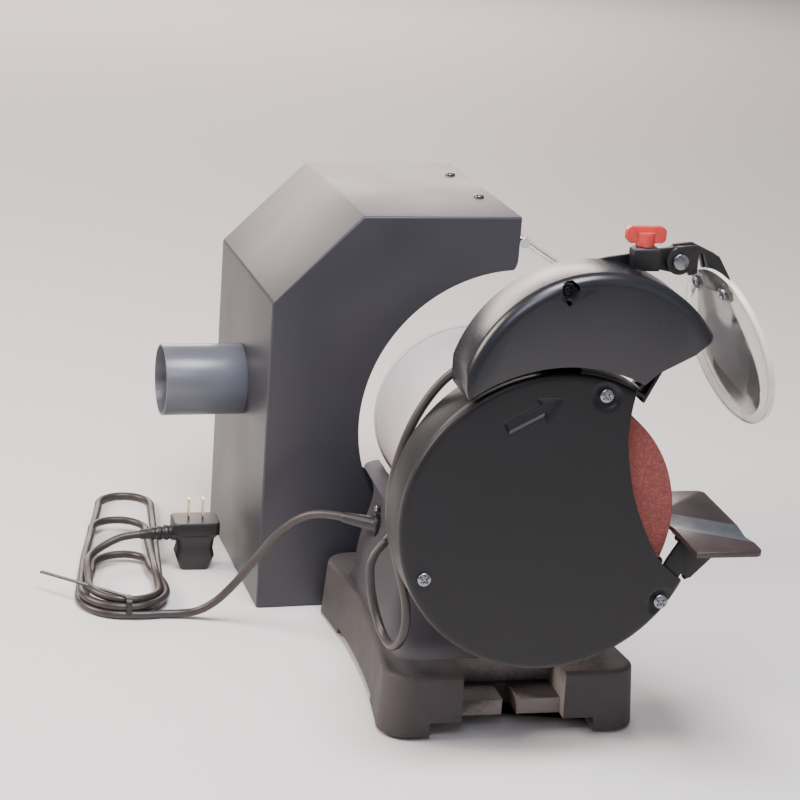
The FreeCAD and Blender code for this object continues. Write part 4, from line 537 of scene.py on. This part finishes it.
screw = {"steps": 48, "rings": 12, "rim": 0.4, "shank": 2.0, "shankLength": 4.0,
         "armWidth": 0.17, "armSlope": 0.08, "armReach": 0.62, "endSlope": 0.15, "recess": 0.62, "recessAbove": 0.3,
         "sparkEdge": 0.5, "sunk": 0.9, "sunkShank": 6.0, "foundWithin": 0.2}
coverHeads = [((cover["dimpleFloor"], -31, 296), 5.4, 3.2), ((cover["dimpleFloor"], -90, 134), 5.6, 3.2),
              ((-184.1, 94.5, 157), 5.2, 3.0)]
lampHead = ((-182.0, 6, 374), 4.0, 2.4)
glandHead = ((29.0, 80.4, 130.0), 3.6, 2.2)
panHeads = {"hoodScrews": {"node": "hood_screws", "out": (0, 0, 1), "radius": 4.4, "height": 2.6},
            "switchScrews": {"node": "pedestal_screws", "out": (0, -1, 0), "radius": 3.8, "height": 2.0}}


def addScrew(mesh, seat, radius, height, out, length=screw["shankLength"]):
    seat, out = Vector(seat) * mm, Vector(out).normalized()
    side = out.orthogonal().normalized()
    other = out.cross(side)
    profile = []
    for i in range(screw["rings"] + 1):
        lean = i / screw["rings"] * math.pi / 2
        profile.append((height * (screw["rim"] + (1 - screw["rim"]) * math.cos(lean)), radius * math.sin(lean)))
    profile += [(0, radius), (0, screw["shank"]), (-length, screw["shank"]), (-length, 0)]
    for vert in spun(mesh, profile, seat, out, screw["steps"], side):
        offset = (vert.co - seat) / mm
        near, far = sorted((abs(offset.dot(side)) / radius, abs(offset.dot(other)) / radius))
        if offset.dot(out) > screw["recessAbove"] * height:
            arm = smoothStep((screw["armWidth"] - near) / screw["armSlope"] + 0.5)
            end = smoothStep((screw["armReach"] - far) / screw["endSlope"] + 0.5)
            vert.co -= out * arm * end * screw["recess"] * height * mm


def islands(mesh):
    left, groups = set(mesh.verts), []
    while left:
        group, edge = set(), [left.pop()]
        while edge:
            vert = edge.pop()
            group.add(vert)
            for near in (e.other_vert(vert) for e in vert.link_edges):
                if near in left:
                    left.discard(near)
                    edge.append(near)
        groups.append(list(group))
    return groups


def headPlaces(node, out):
    # the centre of each screw's outer end, found on the CAD solids
    out = Vector(out).normalized()
    mesh = merged(node)
    places = []
    for group in islands(mesh):
        top = max(v.co.dot(out) for v in group)
        rim = [v.co for v in group if v.co.dot(out) > top - screw["foundWithin"] * mm]
        low = Vector([min(p[i] for p in rim) for i in range(3)])
        high = Vector([max(p[i] for p in rim) for i in range(3)])
        places.append((low + high) / 2 / mm)
    mesh.free()
    return places


def makeGuardScrews():
    mesh = merged("guard_screws")
    spark = max(islands(mesh), key=lambda group: min(v.co.x for v in group))      # the spark plate's own screw stays
    bmesh.ops.delete(mesh, geom=[v for v in mesh.verts if v not in set(spark)], context="VERTS")
    roundEdges(mesh, screw["sparkEdge"])
    for head in coverHeads:
        addScrew(mesh, *head, out=(-1, 0, 0))
    bright = set(mesh.faces)
    # the lamp hood's screw gets the black finish as painted shade for its dark well
    addScrew(mesh, *lampHead, out=(-1, 0, 0))
    for face in mesh.faces:
        face.material_index = 0 if face in bright else 1
    return mesh


addPiece("guardScrews", makeGuardScrews(), ("guard_screws",), ("zinc", "black_steel"))
for piece, head in panHeads.items():
    mesh = bmesh.new()
    for place in headPlaces(head["node"], head["out"]):
        if head["node"] == "pedestal_screws" and place.y > 0:      # the strain relief's screw looks to the rear
            addScrew(mesh, *glandHead, out=(0, 1, 0))
        else:
            seat = place - Vector(head["out"]) * head["height"] * screw["sunk"]
            addScrew(mesh, seat, head["radius"], head["height"], head["out"], screw["sunkShank"])
    addPiece(piece, mesh, (head["node"],))
print("screws made")


# eye shield: a milky disc with a frosted rim, and the magnifying lens moulded on it

shield = {"centre": (-166, -125, 328), "normal": (0.138, -0.941, 0.307), "radius": 60.0, "thick": 3.0, "edge": 0.5,
          "frosted": 6.5, "smooth": 30,
          "lensRadius": 40.0, "lensDrop": -14.0, "lensRise": 4.0, "lensSeat": 0.02, "lensRim": 0.5, "lensRings": 16,
          "lensSteps": 96, "lensSmooth": 40,
          "screwRadius": 4.6, "screwHeight": 2.6, "screwProud": 2.4, "screwLength": 8.0,
          "nut": [(-3.2, 0), (-3.2, 3.8), (-0.6, 3.8), (0, 3.2), (0, 0)], "nutSides": 6}

outward = Vector(shield["normal"]).normalized()
across = (Vector((1, 0, 0)) - outward * outward.x).normalized()
upward = outward.cross(across)
if upward.z < 0:
    upward = -upward


def onShield(aside, above, ahead):
    return Vector(shield["centre"]) * mm + (across * aside + upward * above + outward * ahead) * mm


def makeShieldDisc():
    mesh = merged("eye_shield")
    roundEdges(mesh, shield["edge"])
    centre = onShield(0, 0, 0)
    for face in mesh.faces:
        spot = face.calc_center_median() - centre
        planar = (spot - outward * spot.dot(outward)).length / mm
        face.material_index = 1 if planar > shield["radius"] - shield["frosted"] else 0
    return mesh


def makeLens():
    mesh = bmesh.new()
    radius, rings = shield["lensRadius"], shield["lensRings"]
    profile = [(shield["lensSeat"], 0), (shield["lensSeat"], radius / 2), (shield["lensSeat"], radius)]
    for i in range(rings + 1):
        left = 1 - i / rings
        profile.append((shield["lensRim"] + (shield["lensRise"] - shield["lensRim"]) * (1 - left ** 2), radius * left))
    spun(mesh, profile, onShield(0, shield["lensDrop"], shield["thick"]), outward, shield["lensSteps"])
    return mesh


def makeShieldScrews():
    mesh = bmesh.new()
    for place in headPlaces("shield_screws", -outward):
        addScrew(mesh, place + outward * shield["screwProud"], shield["screwRadius"], shield["screwHeight"], -outward,
                 shield["screwLength"])
    for place in headPlaces("shield_screws", outward):
        spun(mesh, shield["nut"], place * mm, outward, shield["nutSides"])
    return mesh


addPiece("shieldDisc", makeShieldDisc(), ("eye_shield",), ("clear_plastic", "clear_edge"), shield["smooth"])
addPiece("magnifierLens", makeLens(), ("shield_lens",), ("lens",), shield["lensSmooth"])
addPiece("shieldScrews", makeShieldScrews(), ("shield_screws",))
print("eye shield made")


# visor: a clear sheet whose cut edges are frosted; tool rest: a plate with a V across it, whose upward-sloping faces
# carry a painted reflection

visor = {"edge": 0.6, "faceOn": 0.9, "smooth": 30}
toolRest = {"edge": 0.7, "paintedReflectionLean": (0.5, 0.999), "smooth": 30}      # how far up the faces look that get the lighter steel as a painted reflection


def makeVisor():
    mesh = merged("visor")
    flat = max(mesh.faces, key=lambda f: f.calc_area()).normal.copy()
    for face in mesh.faces:
        face.material_index = 0 if abs(face.normal.dot(flat)) > visor["faceOn"] else 1
    roundEdges(mesh, visor["edge"])
    return mesh


def makeToolRest():
    mesh = merged("tool_rest")
    low, high = toolRest["paintedReflectionLean"]
    # faces leaning upwards get the lighter, partly metallic steel as a painted reflection
    for face in mesh.faces:
        face.material_index = 1 if low < face.normal.z < high else 0
    roundEdges(mesh, toolRest["edge"])
    return mesh


addPiece("visorSheet", makeVisor(), ("visor",), ("clear_plastic", "clear_edge"), visor["smooth"])
addPiece("toolRest", makeToolRest(), ("tool_rest",), ("rest_steel", "painted_reflection_steel"), toolRest["smooth"])
print("visor and tool rest made")


# plug: a stepped moulding with finger grips, and a ribbed sleeve; a level is (height, x size, y size, corner)

plug = {"at": (227, 199), "cornerShare": 0.55, "cornerSegments": 6, "smooth": 40, "level": 0.05, "ends": 0.1,
        "levels": [(0, 17, 24, 6), (4, 19, 28, 7), (14, 23, 35, 8), (21, 20, 32, 8), (30, 21, 34, 8),
                   (34.5, 27.5, 39.5, 8), (35.5, 30, 42, 8), (45.5, 30, 42, 8), (47, 27.5, 39.5, 7)],
        "sleeveAt": (227, 216, 34), "sleeveOut": (0, 32, -2), "sleeveSteps": 32,
        "sleeve": [(0, 0), (0, 7.5), (4, 7.4), (5, 6.2), (7, 6.2), (8, 7.0), (10, 6.9), (11, 5.8), (13, 5.8), (14, 6.6),
                   (16, 6.4), (17, 5.4), (19, 5.4), (20, 6.0), (22, 5.8), (23, 5.0), (31, 4.4), (32.2, 4.3),
                   (32.2, 3.5), (30, 3.5), (30, 0)]}


def makePlug():
    mesh = bmesh.new()
    for z, x, y, corner in plug["levels"]:
        before = set(mesh.verts)
        bmesh.ops.create_grid(mesh, x_segments=1, y_segments=1, size=0.5)
        fresh = [v for v in mesh.verts if v not in before]
        for vert in fresh:
            vert.co = Vector((plug["at"][0] + vert.co.x * x, plug["at"][1] + vert.co.y * y, z)) * mm
        bmesh.ops.bevel(mesh, geom=fresh, offset=corner * plug["cornerShare"] * mm, offset_type="OFFSET",
                        segments=plug["cornerSegments"], profile=0.5, affect="VERTICES", material=-1)
    heights = [level[0] for level in plug["levels"]]
    low, high = heights[0] + plug["ends"], heights[-1] - plug["ends"]
    inner = [f for f in mesh.faces if low < f.calc_center_median().z / mm < high]
    bmesh.ops.delete(mesh, geom=inner, context="FACES_ONLY")      # only the bottom and the top stay closed
    for pair in zip(heights, heights[1:]):
        rings = [e for e in mesh.edges
                 if any(all(abs(v.co.z / mm - z) < plug["level"] for v in e.verts) for z in pair)]
        bmesh.ops.bridge_loops(mesh, edges=rings)
    bmesh.ops.recalc_face_normals(mesh, faces=mesh.faces)
    spun(mesh, plug["sleeve"], Vector(plug["sleeveAt"]) * mm, Vector(plug["sleeveOut"]).normalized(),
         plug["sleeveSteps"])
    return mesh


mainsPlug = addPiece("mainsPlug", makePlug(), ("plug_body",), smooth=plug["smooth"])
print("plug made")


# threaded taper on the polishing end of the spindle; tooth is the thread's section, (along, out)

taper = {"from": 137.0, "to": 212.0, "axis": 197.0, "rootRadius": 8.9, "tipRadius": 3.9, "pitch": 6.0, "steps": 28,
         "tooth": [(-1.6, -0.5), (-0.25, 0.9), (0.25, 0.9), (1.6, -0.5)], "edge": 0.3}


def makePolishingNose():
    mesh = bmesh.new()
    length = taper["to"] - taper["from"]
    turns = length / taper["pitch"]
    tooth = [mesh.verts.new(Vector((taper["from"] + x, 0, taper["axis"] + taper["rootRadius"] + out)) * mm)
             for x, out in taper["tooth"]]
    edges = [mesh.edges.new(pair) for pair in zip(tooth, tooth[1:] + tooth[:1])]
    steps = int(turns * taper["steps"])
    bmesh.ops.spin(mesh, geom=tooth + edges, cent=(0, 0, taper["axis"] * mm), axis=(1, 0, 0), angle=turns * 2 * math.pi,
                   steps=steps, dvec=(length / steps * mm, 0, 0), use_merge=False, use_duplicate=False)
    bmesh.ops.holes_fill(mesh, edges=[e for e in mesh.edges if e.is_boundary], sides=4)
    for vert in mesh.verts:      # the even thread is drawn in towards the tip
        x, y, z = vert.co / mm
        radius = math.hypot(y, z - taper["axis"])
        drop = (x - taper["from"]) / length * (taper["rootRadius"] - taper["tipRadius"])
        share = (radius - drop) / radius
        vert.co.y, vert.co.z = y * share * mm, (taper["axis"] + (z - taper["axis"]) * share) * mm
    bmesh.ops.recalc_face_normals(mesh, faces=mesh.faces)
    nose = merged("polishing_nose")
    roundEdges(nose, taper["edge"])
    joined = bpy.data.meshes.new("nose")
    nose.to_mesh(joined)
    nose.free()
    mesh.from_mesh(joined)
    bpy.data.meshes.remove(joined)
    return mesh


addPiece("polishingNose", makePolishingNose(), ("polishing_nose",))
print("polishing nose made")


# mains lead and lamp lead: control points of their curves

lead = {"diameter": 7, "length": 1.8, "lampLength": 0.361, "roundness": 6, "steps": 10,
        "route": [(44.2, 104.6, 117), (55, 119, 117), (67.5, 136.5, 109), (79, 153, 89), (89, 168.5, 62), (97, 183, 37),
                  (103.5, 198, 17.5), (109.5, 213, 6.5), (113.5, 228, 4), (114, 243, 3.9)],
        "plugRoute": [(188, 299, 20), (203, 296, 20.5), (216, 288, 22), (224, 276, 26), (227, 262, 31.1),
                      (227, 248, 32)],
        "lampRoute": [(-145, 64, 309), (-138, 73, 300), (-132.5, 84, 285), (-131, 96, 264), (-131, 105, 240),
                      (-131, 110.5, 212), (-131, 110.5, 184), (-131, 104, 156), (-131, 96, 131), (-131, 91, 108),
                      (-130.5, 92, 87), (-115, 95.5, 70.5), (-92, 98.5, 70.5), (-76, 103, 87), (-72, 107, 107),
                      (-66.4, 106.9, 127.9), (-63.2, 95.0, 137.9)]}
hank = {"near": (152, 270), "far": (385, 248), "bow": 2.5, "startHeight": 3.9,
        "turns": [{"nearRadius": 38.5, "far": 224, "aside": -4, "farRadius": 25, "heights": (3.9, 3.9, 3.9)},
                  {"nearRadius": 32.2, "far": 66, "aside": 2, "farRadius": 25, "heights": (3.9, 3.9, 9.5)},
                  {"nearRadius": 36.5, "far": 140, "aside": 3, "farRadius": 25, "heights": (10.9, 11.2, 11.2)}],
        "lastRadius": 30.2, "lastHeights": (11.2, 17.5)}


def hankPoint(along, aside, height):
    near, far = Vector(hank["near"]), Vector(hank["far"])
    axis = (far - near).normalized()
    spot = near + axis * along + Vector((-axis.y, axis.x)) * aside
    return (spot.x, spot.y, height)


def halfTurn(along, aside, radius, facing, low, high):
    # half an octagon round the turn's centre: facing 1 is the far end of the hank, -1 the tied end
    t = math.tan(math.radians(22.5))
    corners = ((-t, 1), (t, 1), (1, t), (1, -t), (t, -1), (-t, -1))
    return [hankPoint(along + facing * p * radius, aside + facing * q * radius, low + (high - low) * i / 5)
            for i, (p, q) in enumerate(corners)]


def hankRoute():
    points, height = [], hank["startHeight"]
    for turn in hank["turns"]:
        start, bend, end = turn["heights"]
        near = halfTurn(0, 0, turn["nearRadius"], -1, height, start)
        points += near if points else near[2:]      # the first run comes in part of the way round
        middle = (turn["nearRadius"] + turn["aside"] + turn["farRadius"]) / 2 + hank["bow"]
        points.append(hankPoint(turn["far"] / 2, middle, start))
        points += halfTurn(turn["far"], turn["aside"], turn["farRadius"], 1, bend, end)
        height = end
    return points + halfTurn(0, 0, hank["lastRadius"], -1, *hank["lastHeights"])


def addCord(name, route):
    curve = bpy.data.curves.new(name, "CURVE")
    curve.dimensions = "3D"
    curve.bevel_depth = lead["diameter"] * mm / 2
    curve.bevel_resolution = lead["roundness"]
    curve.resolution_u = lead["steps"]
    spline = curve.splines.new("NURBS")
    spline.points.add(len(route) - 1)
    for point, (x, y, z) in zip(spline.points, route):
        point.co = (x * mm, y * mm, z * mm, 1)
    spline.order_u = 3
    spline.use_endpoint_u = True
    curve.use_fill_caps = True
    curve.materials.append(finishes["cord_pvc"])
    cord = bpy.data.objects.new(name, curve)
    scene.collection.objects.link(cord)
    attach(cord, "stand")
    return cord


mainsLead = addCord("mainsLead", lead["route"] + hankRoute() + lead["plugRoute"])
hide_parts("power_cord", "cord_hank", "plug_cord")
lampLead = addCord("lampLead", lead["lampRoute"])
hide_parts("lamp_cord")
print("cords laid")


# floor and light; places and sizes in metres

studio = {"floor": "#dddad7", "floorRoughness": 0.7, "floorRadius": 14, "floorSteps": 96,
          "sky": "#e6e5e8", "skyStrength": 0.3, "aim": (0.05, 0.0, 0.2)}
lamps = {"key": {"at": (0.35, 2.1, 1.5), "size": (1.1, 1.1), "power": 78, "colour": "#fff1e4"},
         "top": {"at": (-0.5, 0.1, 1.9), "size": (0.8, 0.8), "power": 62, "colour": "#fdfaff"},
         "back": {"at": (4.4, 0.2, 1.45), "size": (3.4, 1.1), "power": 125, "colour": "#ffeee6"},
         "fill": {"at": (-1.9, -1.4, 1.1), "size": (1.6, 1.6), "power": 5, "colour": "#f3f6ff"},
         "sheen": {"at": (-0.75, 0.3, 0.9), "size": (0.35, 0.35), "power": 3.6, "colour": "#e9e6ff"}}

floorMesh = bmesh.new()
bmesh.ops.create_circle(floorMesh, cap_ends=True, segments=studio["floorSteps"], radius=studio["floorRadius"])
floorData = bpy.data.meshes.new("floor")
floorMesh.to_mesh(floorData)
floorMesh.free()
floorData.materials.append(startMaterial("paleFloor", {"Roughness": studio["floorRoughness"],
                                                       "Base Color": linear(studio["floor"])})[0])
floor = bpy.data.objects.new("floor", floorData)
scene.collection.objects.link(floor)

scene.world = bpy.data.worlds.new("studio")
scene.world.use_nodes = True
sky = scene.world.node_tree.nodes["Background"].inputs
sky["Color"].default_value = linear(studio["sky"])
sky["Strength"].default_value = studio["skyStrength"]

for name, lamp in lamps.items():
    light = bpy.data.lights.new(name, "AREA")
    light.shape = "RECTANGLE"
    light.size, light.size_y = lamp["size"]
    light.energy = lamp["power"]
    light.color = linear(lamp["colour"])[:3]
    holder = bpy.data.objects.new(name, light)
    holder.location = lamp["at"]
    holder.rotation_euler = (Vector(lamp["at"]) - Vector(studio["aim"])).to_track_quat("Z", "Y").to_euler()
    holder.visible_camera = False
    scene.collection.objects.link(holder)
print("floor and light ready")
